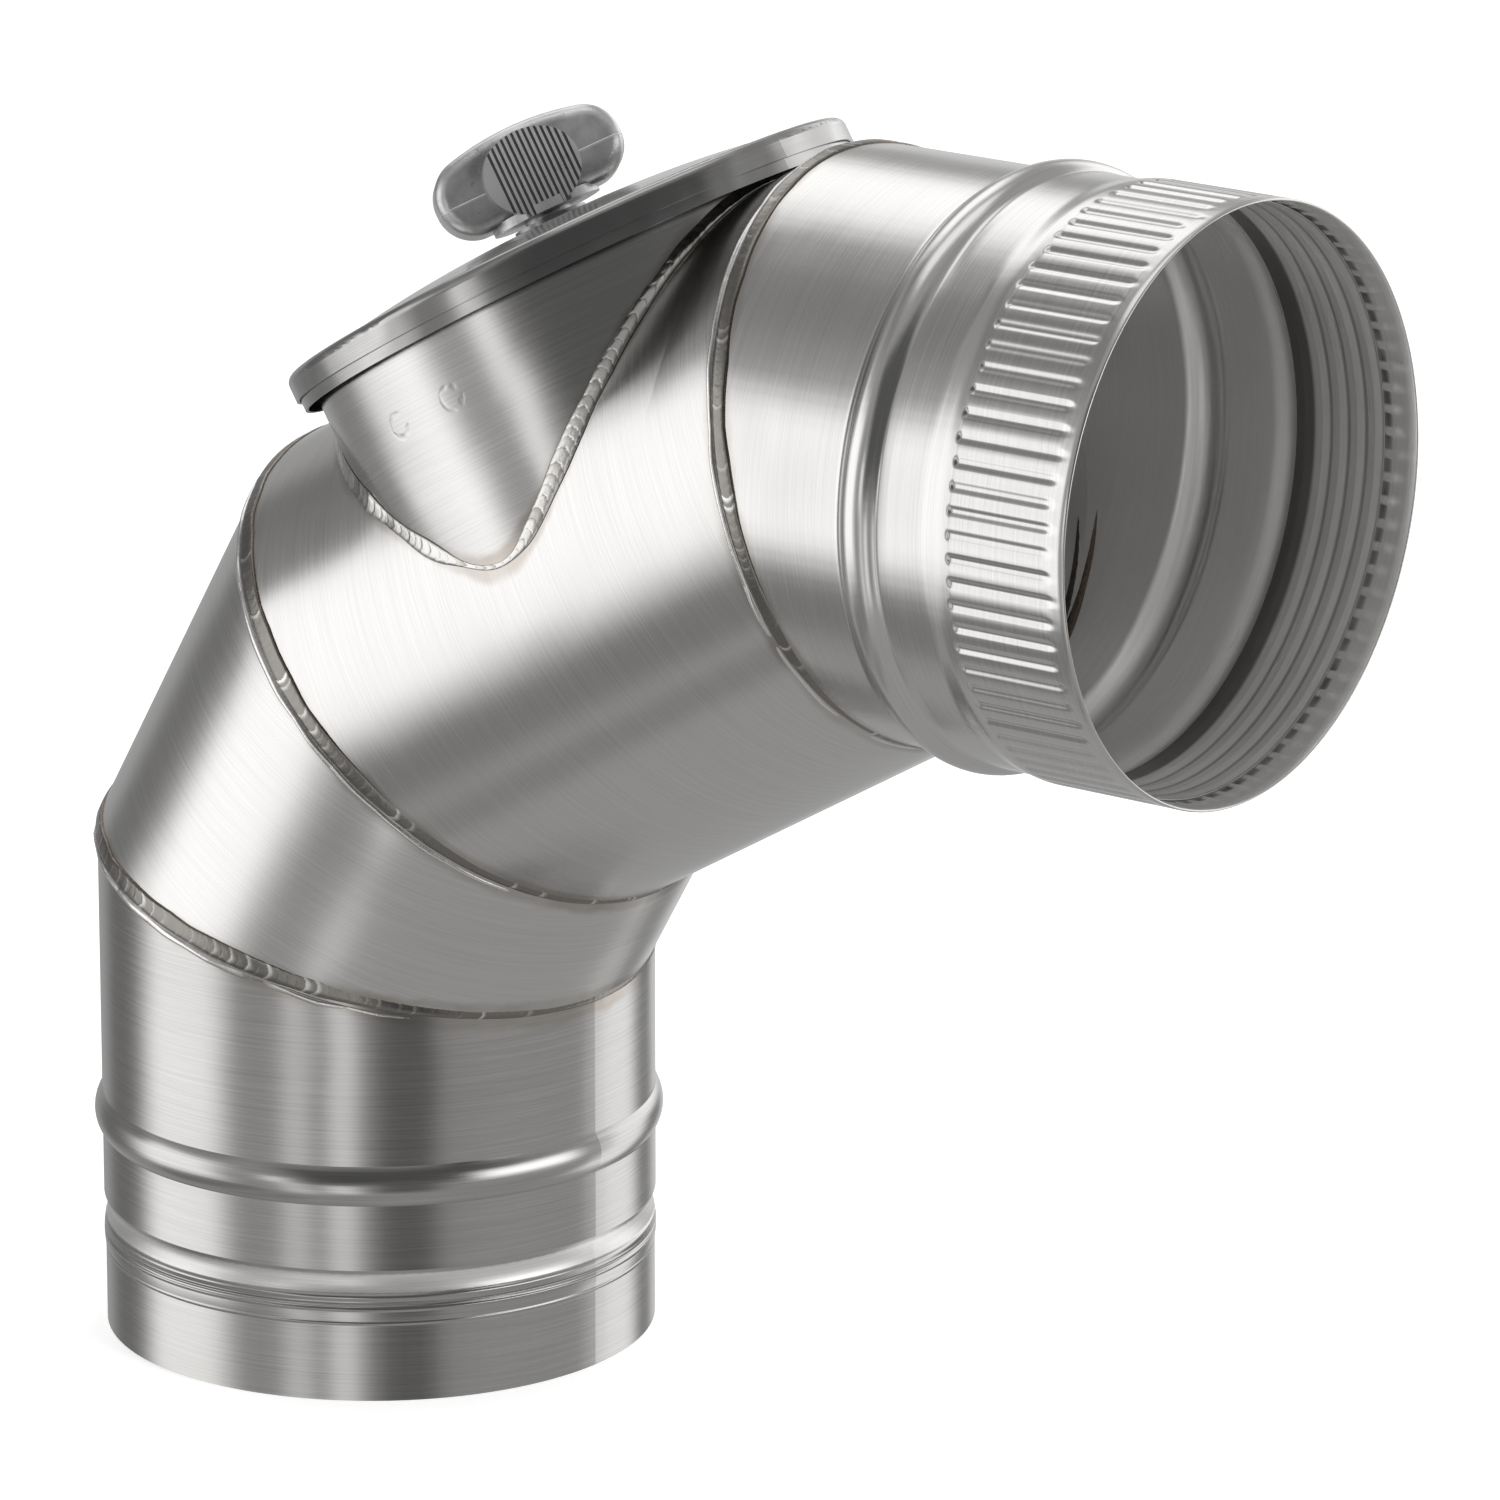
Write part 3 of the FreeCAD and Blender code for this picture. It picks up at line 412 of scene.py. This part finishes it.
# a seam: the ellipse (R / cos lean cos u, R sin u) in the mitre plane. Across it stand a
# broad rippled band and, on the lower side, the narrow lip of the overlapped edge.
def seamPiece(name, node, index, material, width, values=seamForm):
    origin, turn = mitres[index]
    radius, seed = run["pipeRadius"], values["seed"] + index
    longHalf = radius / math.cos(mitreLean)

    def ellipse(angles):
        return np.stack([longHalf * np.cos(angles), radius * np.sin(angles)], axis=-1)

    turns, lengths = evenTurns(ellipse, values["ripplePitch"], values["ripplesSampled"])
    side = np.linspace(-1, 1, values["across"])
    bandSide, band, lip, edges = seamSection(side, values)
    ripple = rippleField(lengths, bandSide, values["ripplePitch"], seed)
    ripple = ripple * (np.abs(bandSide) < 1)
    swell = slowDrift(len(turns), values["swell"], seed + 10)[:, None]
    lipSwell = slowDrift(len(turns), values["lipSwell"], seed + 20)[:, None]
    wide = slowDrift(len(turns), values["widthSwell"], seed + 30)[:, None]
    rise = values["bandRise"] + values["rippleRise"] * (ripple - values["rippleMiddle"])
    height = band * swell * rise
    height = height + lip * np.clip(lipSwell, *values["lipRange"]) * values["lipRise"]
    under = np.full((len(turns), 2), -values["sink"])
    height = np.concatenate([height + values["proud"], under], axis=1)
    along = width / 2 * side[None, :] * wide
    along = np.concatenate([along, along[:, -1:], along[:, :1]], axis=1)
    outward = np.stack([radius * np.cos(turns), longHalf * np.sin(turns)], axis=-1)
    outward = outward / np.linalg.norm(outward, axis=1, keepdims=True)
    base = ellipse(turns)
    across = base[:, :1] + np.abs(along) * math.tan(mitreLean) * -np.cos(turns)[:, None]
    across = across + height * outward[:, :1]
    depth = base[:, 1:] + height * outward[:, 1:]
    local = np.stack([across, depth, along], axis=-1) * mm
    edge = np.broadcast_to(np.append(edges, [1, 1]), along.shape)
    # painted highlight on the lip and on the tops of the ripples, kept as the seam's crown
    lipAndCrestHighlight = np.maximum(lip * lipSwell, values["crestShine"] * ripple ** 8)
    crown = np.concatenate([lipAndCrestHighlight, under * 0], axis=1)
    piece = loopMesh(name, local @ turn.T + origin, dict(crown=crown, edge=edge))
    piece.data.materials.append(material)
    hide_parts(node)
    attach(piece, "elbow")


saddleForm = dict(ripplePitch=3.3, ripplesSampled=10, rippleRise=0.2, rippleMiddle=0.4,
                  leg=2.7, crown=0.42, across=17, sink=0.3, proud=0.02, swell=0.13,
                  thinAt=-94, thinHalf=11, thinning=0.75, seed=31)


# the saddle weld: at each angle the corner is (b cos a, b sin a, sqrt(p^2 - (b sin a)^2))
# of a branch of radius b on a pipe of radius p, and a crowned, rippled strip joins the
# ends of a leg down the pipe and a leg up the branch
def saddlePiece(name, node, material, values=saddleForm):
    origin, turn = places["branch"]
    branch, pipe = run["branchRadius"], run["pipeRadius"]

    def saddle(angles):
        across = branch * np.sin(angles)
        return np.stack([branch * np.cos(angles), across, np.sqrt(pipe ** 2 - across ** 2)],
                        axis=-1)

    turns, lengths = evenTurns(saddle, values["ripplePitch"], values["ripplesSampled"])
    corner = saddle(turns)
    pipeNormal = corner * [0, 1, 1] / pipe
    branchNormal = corner * [1, 1, 0] / branch
    along = np.cross(pipeNormal, branchNormal)
    along = along / np.linalg.norm(along, axis=1, keepdims=True)
    swell = slowDrift(len(turns), values["swell"], values["seed"])[:, None]
    away = (np.degrees(turns) - values["thinAt"] + 180) % 360 - 180
    thin = np.exp(-(away / values["thinHalf"]) ** 4)[:, None]
    swell = swell * (1 - values["thinning"] * thin)
    leg = values["leg"] * swell
    low = corner + np.cross(along, pipeNormal) * leg
    low[:, 1:] *= (pipe / np.linalg.norm(low[:, 1:], axis=1))[:, None]
    high = corner + np.cross(branchNormal, along) * leg
    high[:, :2] *= (branch / np.linalg.norm(high[:, :2], axis=1))[:, None]
    outward = pipeNormal + branchNormal
    outward = outward / np.linalg.norm(outward, axis=1, keepdims=True)
    side = np.linspace(-1, 1, values["across"])
    ripple = rippleField(lengths, side, values["ripplePitch"], values["seed"])
    shoulder = np.clip(1 - side ** 4, 0, 1)
    rise = values["crown"] + values["rippleRise"] * (ripple - values["rippleMiddle"])
    height = shoulder * rise * swell
    part = (side[None, :, None] + 1) / 2
    top = low[:, None, :] * (1 - part) + high[:, None, :] * part
    top = top + outward[:, None, :] * (height[:, :, None] + values["proud"])
    back = corner[:, None, :] - outward[:, None, :] * values["sink"]
    points = np.concatenate([top, back], axis=1) * mm
    edge = np.broadcast_to(np.append(side ** 6, 1), points.shape[:2])
    crown = np.concatenate([ripple, ripple[:, :1] * 0], axis=1)
    points = points[:, ::-1] @ turn.T + origin
    piece = loopMesh(name, points, dict(crown=crown[:, ::-1], edge=edge[:, ::-1]))
    piece.data.materials.append(material)
    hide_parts(node)
    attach(piece, "elbow")


# the wall's rows are stretches of heights: from, to and how many. Two rows close to the mitre
# keep its edge sharp.
socketForm = dict(beadRun=41, beadHalf=6, beadRise=3, neckStep=1.05, collarStep=2.2,
                  flareStart=61.8, flareEnd=67, eased=0.7, easedSteps=7, mitreRun=33.5,
                  fluteStart=70.6, fluteEnd=98.5, fluteCount=80, fluteHalf=1.9,
                  fluteDepth=0.62, startHalf=1.3, endHalf=3.2, startScatter=0.25,
                  endScatter=0.5, weakest=0.7, slitRun=96.2, slitHalf=1.5, landShare=0.7,
                  rimDrops=(0.1, 0, 0.1), rimSteps=(0.2, 0.4, 0.6), columns=9, seed=12,
                  outerRows=((0, 0.12, 2), (11, 33.5, 3), (34, 48, 21), (51, 60, 3),
                             (61, 68, 8), (68.8, 72.6, 12), (76, 90, 4), (92, 101.5, 13),
                             (103, 104.6, 2)),
                  innerRows=((104.6, 102, 2), (100, 93, 10), (84, 75, 3), (72.2, 68.6, 7),
                             (68, 61, 6), (58, 50, 2), (48, 34, 17), (33, 16, 2),
                             (0.12, 0, 2)))


# radius of the socket's wall at heights z: a line with a step at the bead and a flare, and
# the bead as an arc of a circle through both feet, each eased over a short length
def socketRadius(z, values, wall):
    pipe, half, rise = run["pipeRadius"], values["beadHalf"], values["beadRise"]
    knots = [values["beadRun"] - half, values["beadRun"] + half, values["flareStart"],
             values["flareEnd"]]
    steps = [0, values["neckStep"], values["neckStep"], values["collarStep"]]
    arc = (half ** 2 + rise ** 2) / (2 * rise)
    total = 0
    for shift in np.linspace(-1, 1, values["easedSteps"]) * values["eased"]:
        away = np.clip(z + shift - values["beadRun"], -arc + wall, arc - wall)
        bead = np.sqrt((arc - wall) ** 2 - away ** 2) - arc + rise
        total = total + np.interp(z + shift, knots, steps) + np.maximum(bead, -wall)
    return pipe + total / values["easedSteps"]


# the heights of all rows, from their stretches
def wallRows(stretches):
    return np.concatenate([np.linspace(*stretch) for stretch in stretches])


# the socket: the wall's outline turned round its axis, cut on the mitre at z = r cos u tan lean.
# Each flute is a groove of depth (1 + cos(pi d)) / 2, where d is the distance to its straight
# bottom line, measured in half widths across and in longer fades at its two ends.
def socketPiece(name, node, material, values=socketForm):
    origin, turn = places["socket"]
    sheet, leg = run["sheet"], run["socketLeg"]
    count, columns = values["fluteCount"], values["columns"]
    rng = np.random.default_rng(values["seed"])
    strength = rng.uniform(values["weakest"], 1.0, count)
    starts = values["fluteStart"] + rng.normal(0, values["startScatter"], count)
    ends = values["fluteEnd"] + rng.normal(0, values["endScatter"], count)
    pitch = 2 * math.pi * (run["pipeRadius"] + values["collarStep"]) / count
    inGroove = np.linspace(-1, 1, columns) * values["fluteHalf"]
    offset = np.tile(inGroove, count)
    flute = np.repeat(np.arange(count), columns)
    turns = (flute + 0.5 + offset / pitch) * 2 * math.pi / count
    outer, inside = wallRows(values["outerRows"]), wallRows(values["innerRows"])

    # depth of the grooves for heights (rows of the outline) against turns round the axis
    def grooves(z):
        over = np.maximum((starts[flute][:, None] - z) / values["startHalf"], 0)
        over = np.maximum(over, (z - ends[flute][:, None]) / values["endHalf"])
        away = np.minimum(np.hypot(offset[:, None] / values["fluteHalf"], over), 1)
        depth = values["fluteDepth"] * strength[flute][:, None]
        return depth * (1 + np.cos(math.pi * away)) / 2

    def wallRings(heights, wall):
        radius = socketRadius(heights, values, wall)
        low = (radius[None, :] * np.cos(turns)[:, None]) * math.tan(mitreLean)
        base = values["mitreRun"]
        z = np.where(heights < base, low + (base - low) * heights / base, heights)
        return z, radius[None, :] - grooves(heights[None, :])

    outerZ, outerRadius = wallRings(outer, 0)
    innerZ, innerRadius = wallRings(inside, sheet)
    rimZ = leg - np.array(values["rimDrops"])
    rimRadius = run["pipeRadius"] + values["collarStep"] - np.array(values["rimSteps"])
    shape = (len(turns), len(rimZ))
    z = np.concatenate([outerZ, np.broadcast_to(rimZ, shape), innerZ], axis=1)
    radius = np.concatenate([outerRadius, np.broadcast_to(rimRadius, shape), innerRadius], axis=1)
    points = np.stack([radius * np.cos(turns)[:, None], radius * np.sin(turns)[:, None], z],
                      axis=-1)
    layer = np.broadcast_to(np.concatenate([outer * 0, rimZ * 0, inside * 0 + 1]), z.shape)
    # painted shade in the slits behind the ring, on the lands of the inside wall near the slit's
    # height
    near = np.clip(values["slitHalf"] - np.abs(z - values["slitRun"]), 0, 1) * layer
    land = (np.abs(offset) > values["landShare"] * values["fluteHalf"])[:, None]
    land = land * strength[flute][:, None]
    layers = dict(inside=layer, slitShade=near * land)
    piece = loopMesh(name, points * mm @ turn.T + origin, layers)
    piece.data.materials.append(material)
    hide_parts(node)
    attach(piece, "elbow")


socketPiece("socket_fluted", "socket_tube",
            brushedMaterial("socketSteel", places["socket"], (2,)))
print("socket made")

weldMetal = weldMaterial("weldMetal", weldFinish)
seamMetal = weldMaterial("seamMetal", seamFinish)
seamWidths = dict(seam_lower=7.4, seam_middle=7.2, seam_upper=6.2)
for index, (node, width) in enumerate(seamWidths.items()):
    seamPiece(node + "_ripple", node, index, seamMetal, width)
saddlePiece("branch_weld_ripple", "branch_weld", weldMetal)
print("welds made")

pressed = dict(colour=(0.68, 0.675, 0.665, 1), shade=(0.56, 0.555, 0.545, 1),
               rimShade=(0.34, 0.335, 0.33, 1), rimStart=74, rimFade=1.5, rimScale=38,
               roughness=0.19, cloudScale=26, ringLines=2600, ringHeight=0.00002,
               waveScale=55, waveHeight=0.0012)


# pressed cover: polished sheet with faint turned rings, and painted shade in patches on the rim
def pressedMaterial(name, place, values=pressed):
    material, tree, shader = newMaterial(name, {"Metallic": 1.0})
    local = tree.localPoint(place)
    x, y, z = tree.split(local)
    away = (x * x + y * y).math("SQRT")
    lines = values["ringLines"]
    rings = tree.noise(tree.joined(away * lines, z * lines, x * 12), 1.0, 2.0, 0.6)
    cloud = tree.noise(local, values["cloudScale"], 3.0, 0.6)
    colour = tree.mix((rings * 0.5 + cloud * 0.5).ramp(0.35, 0.65), values["shade"],
                      values["colour"])
    start, fade = values["rimStart"], values["rimFade"]
    # painted shade on the rim, in patches
    rimShadeMask = away.ramp((start - fade) * mm, (start + fade) * mm)
    patches = tree.noise(local, values["rimScale"], 2.0, 0.6).ramp(0.38, 0.6)
    colour = tree.mix(rimShadeMask * (patches * 0.45 + 0.5), colour, values["rimShade"])
    rough = values["roughness"] + (cloud - 0.5) * 0.16 + (rings - 0.5) * 0.08
    waves = tree.noise(local, values["waveScale"], 1.0)
    shape = tree.bump(waves, values["waveHeight"], 0.35)
    shape = tree.bump(rings, values["ringHeight"], 0.5, shape)
    feed(tree, shader, Base_Color=colour, Roughness=rough, Normal=shape)
    return material


# crest is a painted highlight and the gap colour is painted shade, both for the knob's ribs
cast = dict(colour=(0.74, 0.74, 0.74, 1), shade=(0.54, 0.54, 0.54, 1), pit=(0.3, 0.3, 0.3, 1),
            crest=(0.98, 0.98, 0.98, 1), paintedGapShade=(0.14, 0.14, 0.14, 1), roughness=0.32, metal=0.75,
            padHalf=14.5, ribDepth=0.6, parting=106.4, partingHalf=0.22, partingHeight=0.0002,
            cloudScale=90, waveScale=170, waveHeight=0.0006, grainScale=1500,
            grainHeight=0.00006, pitScale=620, pitDepth=0.00008)


# die-cast metal: fine grain, small pits, a painted highlight on the crests and painted shade in
# the gaps of the ribs on both pads, and the raised parting line round the knob with a painted
# highlight along it. Out is 0 at a crest and -1 at a gap's floor.
def castMaterial(name, place, values=cast):
    material, tree, shader = newMaterial(name, {"Metallic": values["metal"]})
    local = tree.localPoint(place)
    x, y, z = tree.split(local)
    grain = tree.noise(local, values["grainScale"], 3.0, 0.65)
    cloud = tree.noise(local, values["cloudScale"], 3.0, 0.6)
    waves = tree.noise(local, values["waveScale"], 2.0)
    pits = tree.noise(local, values["pitScale"], 1.0).ramp(0.7, 0.76)
    colour = tree.mix(cloud.ramp(0.35, 0.7), values["shade"], values["colour"])
    colour = tree.mix(pits * 0.5, colour, values["pit"])
    out = (abs(y) - values["padHalf"] * mm) * (1 / (values["ribDepth"] * mm))
    # painted highlight on the rib crests
    colour = tree.mix(out.ramp(-0.3, 0) * 0.8, colour, values["crest"])
    # painted shade on the floors of the gaps between ribs
    floor = out.ramp(-0.4, -0.75) * out.ramp(-1.7, -1.2)
    colour = tree.mix(floor * 0.85, colour, values["paintedGapShade"])
    half = values["partingHalf"] * mm
    line = abs(z - values["parting"] * mm).ramp(half * 1.6, half * 0.5)
    line = line * out.ramp(-1.3, -1.7)
    # painted highlight along the parting line
    colour = tree.mix(line * 0.5, colour, values["crest"])
    rough = values["roughness"] + (grain - 0.5) * 0.2 + (cloud - 0.5) * 0.3
    shape = tree.bump(line, values["partingHeight"], 0.7)
    shape = tree.bump(waves, values["waveHeight"], 0.4, shape)
    shape = tree.bump(grain, values["grainHeight"], 0.5, shape)
    shape = tree.bump(pits, -values["pitDepth"], 0.5, shape)
    feed(tree, shader, Base_Color=colour, Roughness=rough, Normal=shape)
    return material


plated = dict(colour=(0.62, 0.62, 0.63, 1), shade=(0.47, 0.48, 0.50, 1), roughness=0.28,
              cloudScale=130, grainScale=900, grainHeight=0.00003, threadPitch=1.25,
              threadHeight=0.0011)


# zinc-plated steel of the clamp; the stud also has its thread, z plus angle as a helix
def platedMaterial(name, place, thread=False, values=plated):
    material, tree, shader = newMaterial(name, {"Metallic": 1.0})
    local = tree.localPoint(place)
    cloud = tree.noise(local, values["cloudScale"], 3.0, 0.6)
    colour = tree.mix(cloud.ramp(0.3, 0.7), values["shade"], values["colour"])
    rough = values["roughness"] + (cloud - 0.5) * 0.25
    grain = tree.noise(local, values["grainScale"], 2.0)
    shape = tree.bump(grain, values["grainHeight"], 0.5)
    if thread:
        x, y, z = tree.split(local)
        turn = y.math("ARCTAN2", x) * (1 / (2 * math.pi))
        phase = (z * (1 / (values["threadPitch"] * mm)) + turn).math("FRACT")
        shape = tree.bump(abs(phase - 0.5), values["threadHeight"], 0.9, shape)
    feed(tree, shader, Base_Color=colour, Roughness=rough, Normal=shape)
    return material


fibre = dict(colour=(0.085, 0.085, 0.085, 1), light=(0.16, 0.155, 0.15, 1), roughness=0.85,
             feltScale=1400, feltHeight=0.0002)


# fibre gasket: matt, with short felted fibres
def fibreMaterial(name, values=fibre):
    material, tree, shader = newMaterial(name, {"Metallic": 0.0})
    point = tree.objectPoint()
    felt = tree.noise(point, values["feltScale"], 4.0, 0.7)
    colour = tree.mix(felt.ramp(0.35, 0.7), values["colour"], values["light"])
    rough = values["roughness"] + (felt - 0.5) * 0.2
    shape = tree.bump(felt, values["feltHeight"], 0.6)
    feed(tree, shader, Base_Color=colour, Roughness=rough, Normal=shape)
    return material


spotWelds = dict(angles=(-99.9, -83.7, 83.7, 99.9), height=59.5)


# the spot welds of the two lugs, on the outside of the branch
def spotPoints(values):
    origin, turn = places["branch"]
    angles = np.radians(values["angles"])
    local = np.stack([np.cos(angles) * run["branchRadius"], np.sin(angles) * run["branchRadius"],
                      np.full(len(angles), values["height"])], axis=-1) * mm
    return (local @ turn.T + origin).tolist()


# gives solids a finish in place of their own
def dress(material, *names):
    for name in names:
        finishes = nodes[name].data.materials
        if not finishes:
            finishes.append(material)
        for index in range(len(finishes)):
            finishes[index] = material


pipe = run["pipeRadius"]
# creases rolled along the seal bead: height on the spigot, half width and depth in mm
spigotCreases = ((28.9, 1.3, 0.5), (27.0, 0.6, -0.4), (25.6, 0.7, 0.3), (21.6, 0.6, 0.25))
# the spigot's sheet is darker all over
darkerSpigotSheet = dict(brushed, colour=(0.55, 0.54, 0.53, 1), shade=(0.45, 0.44, 0.43, 1))
dress(brushedMaterial("spigotSteel", places["spigot"], (0,), wallRadius=pipe,
                      creases=spigotCreases, values=darkerSpigotSheet), "spigot_tube")
dress(brushedMaterial("lowerGoreSteel", places["lower"], (0, 1), wallRadius=pipe),
      "lower_gore")
dress(brushedMaterial("centreGoreSteel", places["centre"], (1, 2), True, wallRadius=pipe),
      "centre_gore")
# the ring lies wholly under the radius of the collar, so all of it has the inside's finish
ringFolds = dict(end=95.5, pitch=5.4, hollow=75, fade=1.5, collar=82.5)
dress(brushedMaterial("ringSteel", places["socket"], wallRadius=ringFolds["collar"],
                      folds=ringFolds), "seal_ring")
dress(brushedMaterial("branchSteel", places["branch"], saddle=True,
                      marks=spotPoints(spotWelds), wallRadius=run["branchRadius"]),
      "branch_tube")
dress(pressedMaterial("coverSteel", places["cover"]), "cover_shell", "cover_pan")
# painted shade on the washer, which sits under the knob
washerShadePlated = dict(plated, colour=(0.38, 0.38, 0.39, 1), shade=(0.28, 0.28, 0.29, 1))
dress(platedMaterial("washerSteel", places["cover"], values=washerShadePlated), "knob_washer")
dress(castMaterial("knobMetal", places["knob"]), "knob")
dress(platedMaterial("clampSteel", places["cover"]), "lug_front", "lug_back",
      "stud_clip", "clamp_nut", "clamp_bar")
dress(platedMaterial("studSteel", places["cover"], thread=True), "knob_stud")
dress(fibreMaterial("gasketFibre"), "cover_gasket")
print("solids dressed")

camera = dict(aim=(0.1011, 0.0337, 0.1686), azimuth=37.67, elevation=15.86, distance=2.552,
              lens=231.2, sensor=36.0, farthest=30)


# a direction from its angle to the right of the camera's side and its height, in degrees
def studioDirection(beside, height):
    azimuth = math.radians(camera["azimuth"] - 90 + beside)
    rise = math.radians(height)
    return Vector((math.cos(azimuth) * math.cos(rise), math.sin(azimuth) * math.cos(rise),
                   math.sin(rise)))


# a long lens far away, aimed at the middle of the elbow
def addCamera(values):
    back = studioDirection(0, values["elevation"])
    data = bpy.data.cameras.new("camera")
    data.lens = values["lens"]
    data.sensor_width = values["sensor"]
    data.clip_end = values["farthest"]
    eye = bpy.data.objects.new("camera", data)
    eye.location = Vector(values["aim"]) + back * values["distance"]
    eye.rotation_euler = back.to_track_quat("Z", "Y").to_euler()
    bpy.context.scene.collection.objects.link(eye)
    bpy.context.scene.camera = eye


addCamera(camera)

# soft boxes and dark flags round the object, later ones over earlier ones: angle beside the
# camera's side, height, half width, half height and softness in degrees, and the level
studio = dict(
    room=0.42,
    leastHalf=0.5,
    boxes=dict(
        darkSide=(14, 27, 44, 27, 8, 0.12),
        darkBack=(-133, 0, 13, 27, 9, 0.22),
        darkLow=(-84, -42, 24, 9, 5, 0.26),
        darkDeep=(-76, -62, 16, 5, 3, 0.3),
        darkRight=(148, -22, 9, 18, 5, 0.3),
        darkTop=(-104, 48, 22, 9, 6, 0.28),
        paleBack=(172, -8, 14, 18, 7, 0.75),
        keyLeft=(-88, -3, 21, 24, 9, 1.6),
        darkCorner=(-118, 15, 12, 8, 5, 0.25),
        darkMiddle=(13, -12, 12, 22, 5, 0.16),
        stripeHigh=(-40, 1, 5, 8, 3, 1.4),
        stripeLeft=(-33, -23, 5.5, 19, 4, 0.95),
        stripeMiddle=(-13, -24, 5.5, 15, 3.5, 1.2),
        stripRight=(119, -16, 15, 25, 8, 1.4),
        stripBack=(137, 13, 28, 14, 7, 1.5),
        topBack=(-162, 40, 15, 14, 7, 1.6),
        over=(-160, 80, 22, 13, 6, 1.3),
        mouthLight=(64, 7, 22, 13, 7, 2.2),
    ),
)


# the world: camera rays see white, and all others see the boxes and the room between them
def addWorld(values):
    world = bpy.data.worlds.new("studio")
    bpy.context.scene.world = world
    world.use_nodes = True
    tree = Tree(world.node_tree)
    background = world.node_tree.nodes["Background"]
    toward = tree.add("ShaderNodeTexCoord", None, None, output=0)
    level = values["room"]
    for beside, height, wide, tall, soft, glow in values["boxes"].values():
        centre = studioDirection(beside, height)
        right = studioDirection(beside + 90, 0)
        up = centre.cross(right)
        sizes = [(half + soft, max(half - soft, values["leastHalf"])) for half in (wide, tall)]
        sines = np.sin(np.radians(sizes)).tolist()
        mask = abs(tree.dot(toward, right)).ramp(*sines[0])
        mask = mask * abs(tree.dot(toward, up)).ramp(*sines[1])
        mask = mask * tree.dot(toward, centre).math("GREATER_THAN", 0)
        level = mask * (glow - level) + level
    seen = tree.add("ShaderNodeLightPath", None, None, output=0)
    strength = level * (1 - seen) + seen
    tree.tree.links.new(strength.socket, background.inputs["Strength"])
    background.inputs["Color"].default_value = (1, 1, 1, 1)


addWorld(studio)

lamps = dict(
    top=dict(beside=-150, height=62, away=1.9, size=(1.6, 1.2), power=9),
    mouth=dict(beside=44, height=16, away=1.2, size=(0.5, 0.5), power=12),
)


# an area lamp that lights the object and isn't seen in reflections
def addLamp(name, values):
    data = bpy.data.lights.new(name, "AREA")
    data.shape = "RECTANGLE"
    data.size, data.size_y = values["size"]
    data.energy = values["power"]
    lamp = bpy.data.objects.new(name, data)
    toward = studioDirection(values["beside"], values["height"])
    lamp.location = Vector(camera["aim"]) + toward * values["away"]
    lamp.rotation_euler = toward.to_track_quat("Z", "Y").to_euler()
    lamp.visible_glossy = False
    bpy.context.scene.collection.objects.link(lamp)


for name, values in lamps.items():
    addLamp(name, values)

stage = dict(floorHalf=9.0, floorColour=(0.86, 0.86, 0.86, 1), floorRoughness=0.9,
             floorGlow=0.5)


# the floor keeps the shadow; reflections pass it by and show the studio instead
def addFloor(values):
    half = values["floorHalf"]
    corners = [(-half, -half, 0), (half, -half, 0), (half, half, 0), (-half, half, 0)]
    mesh = bpy.data.meshes.new("floor")
    mesh.from_pydata(corners, [], [(0, 1, 2, 3)])
    floor = bpy.data.objects.new("floor", mesh)
    floor.visible_glossy = False
    bpy.context.scene.collection.objects.link(floor)
    material, tree, shader = newMaterial("floorPaper", {"Base Color": values["floorColour"],
                                                        "Roughness": values["floorRoughness"]})
    seen = tree.add("ShaderNodeLightPath", None, None, output=0)
    glow = tree.add("ShaderNodeEmission", None, {"Strength": seen * values["floorGlow"]})
    both = tree.add("ShaderNodeAddShader", None, {0: Signal(tree, shader.outputs[0]), 1: glow})
    output = material.node_tree.nodes["Material Output"]
    tree.tree.links.new(both.socket, output.inputs["Surface"])
    mesh.materials.append(material)


addFloor(stage)
bpy.context.scene.view_settings.view_transform = "Standard"
print("studio set")
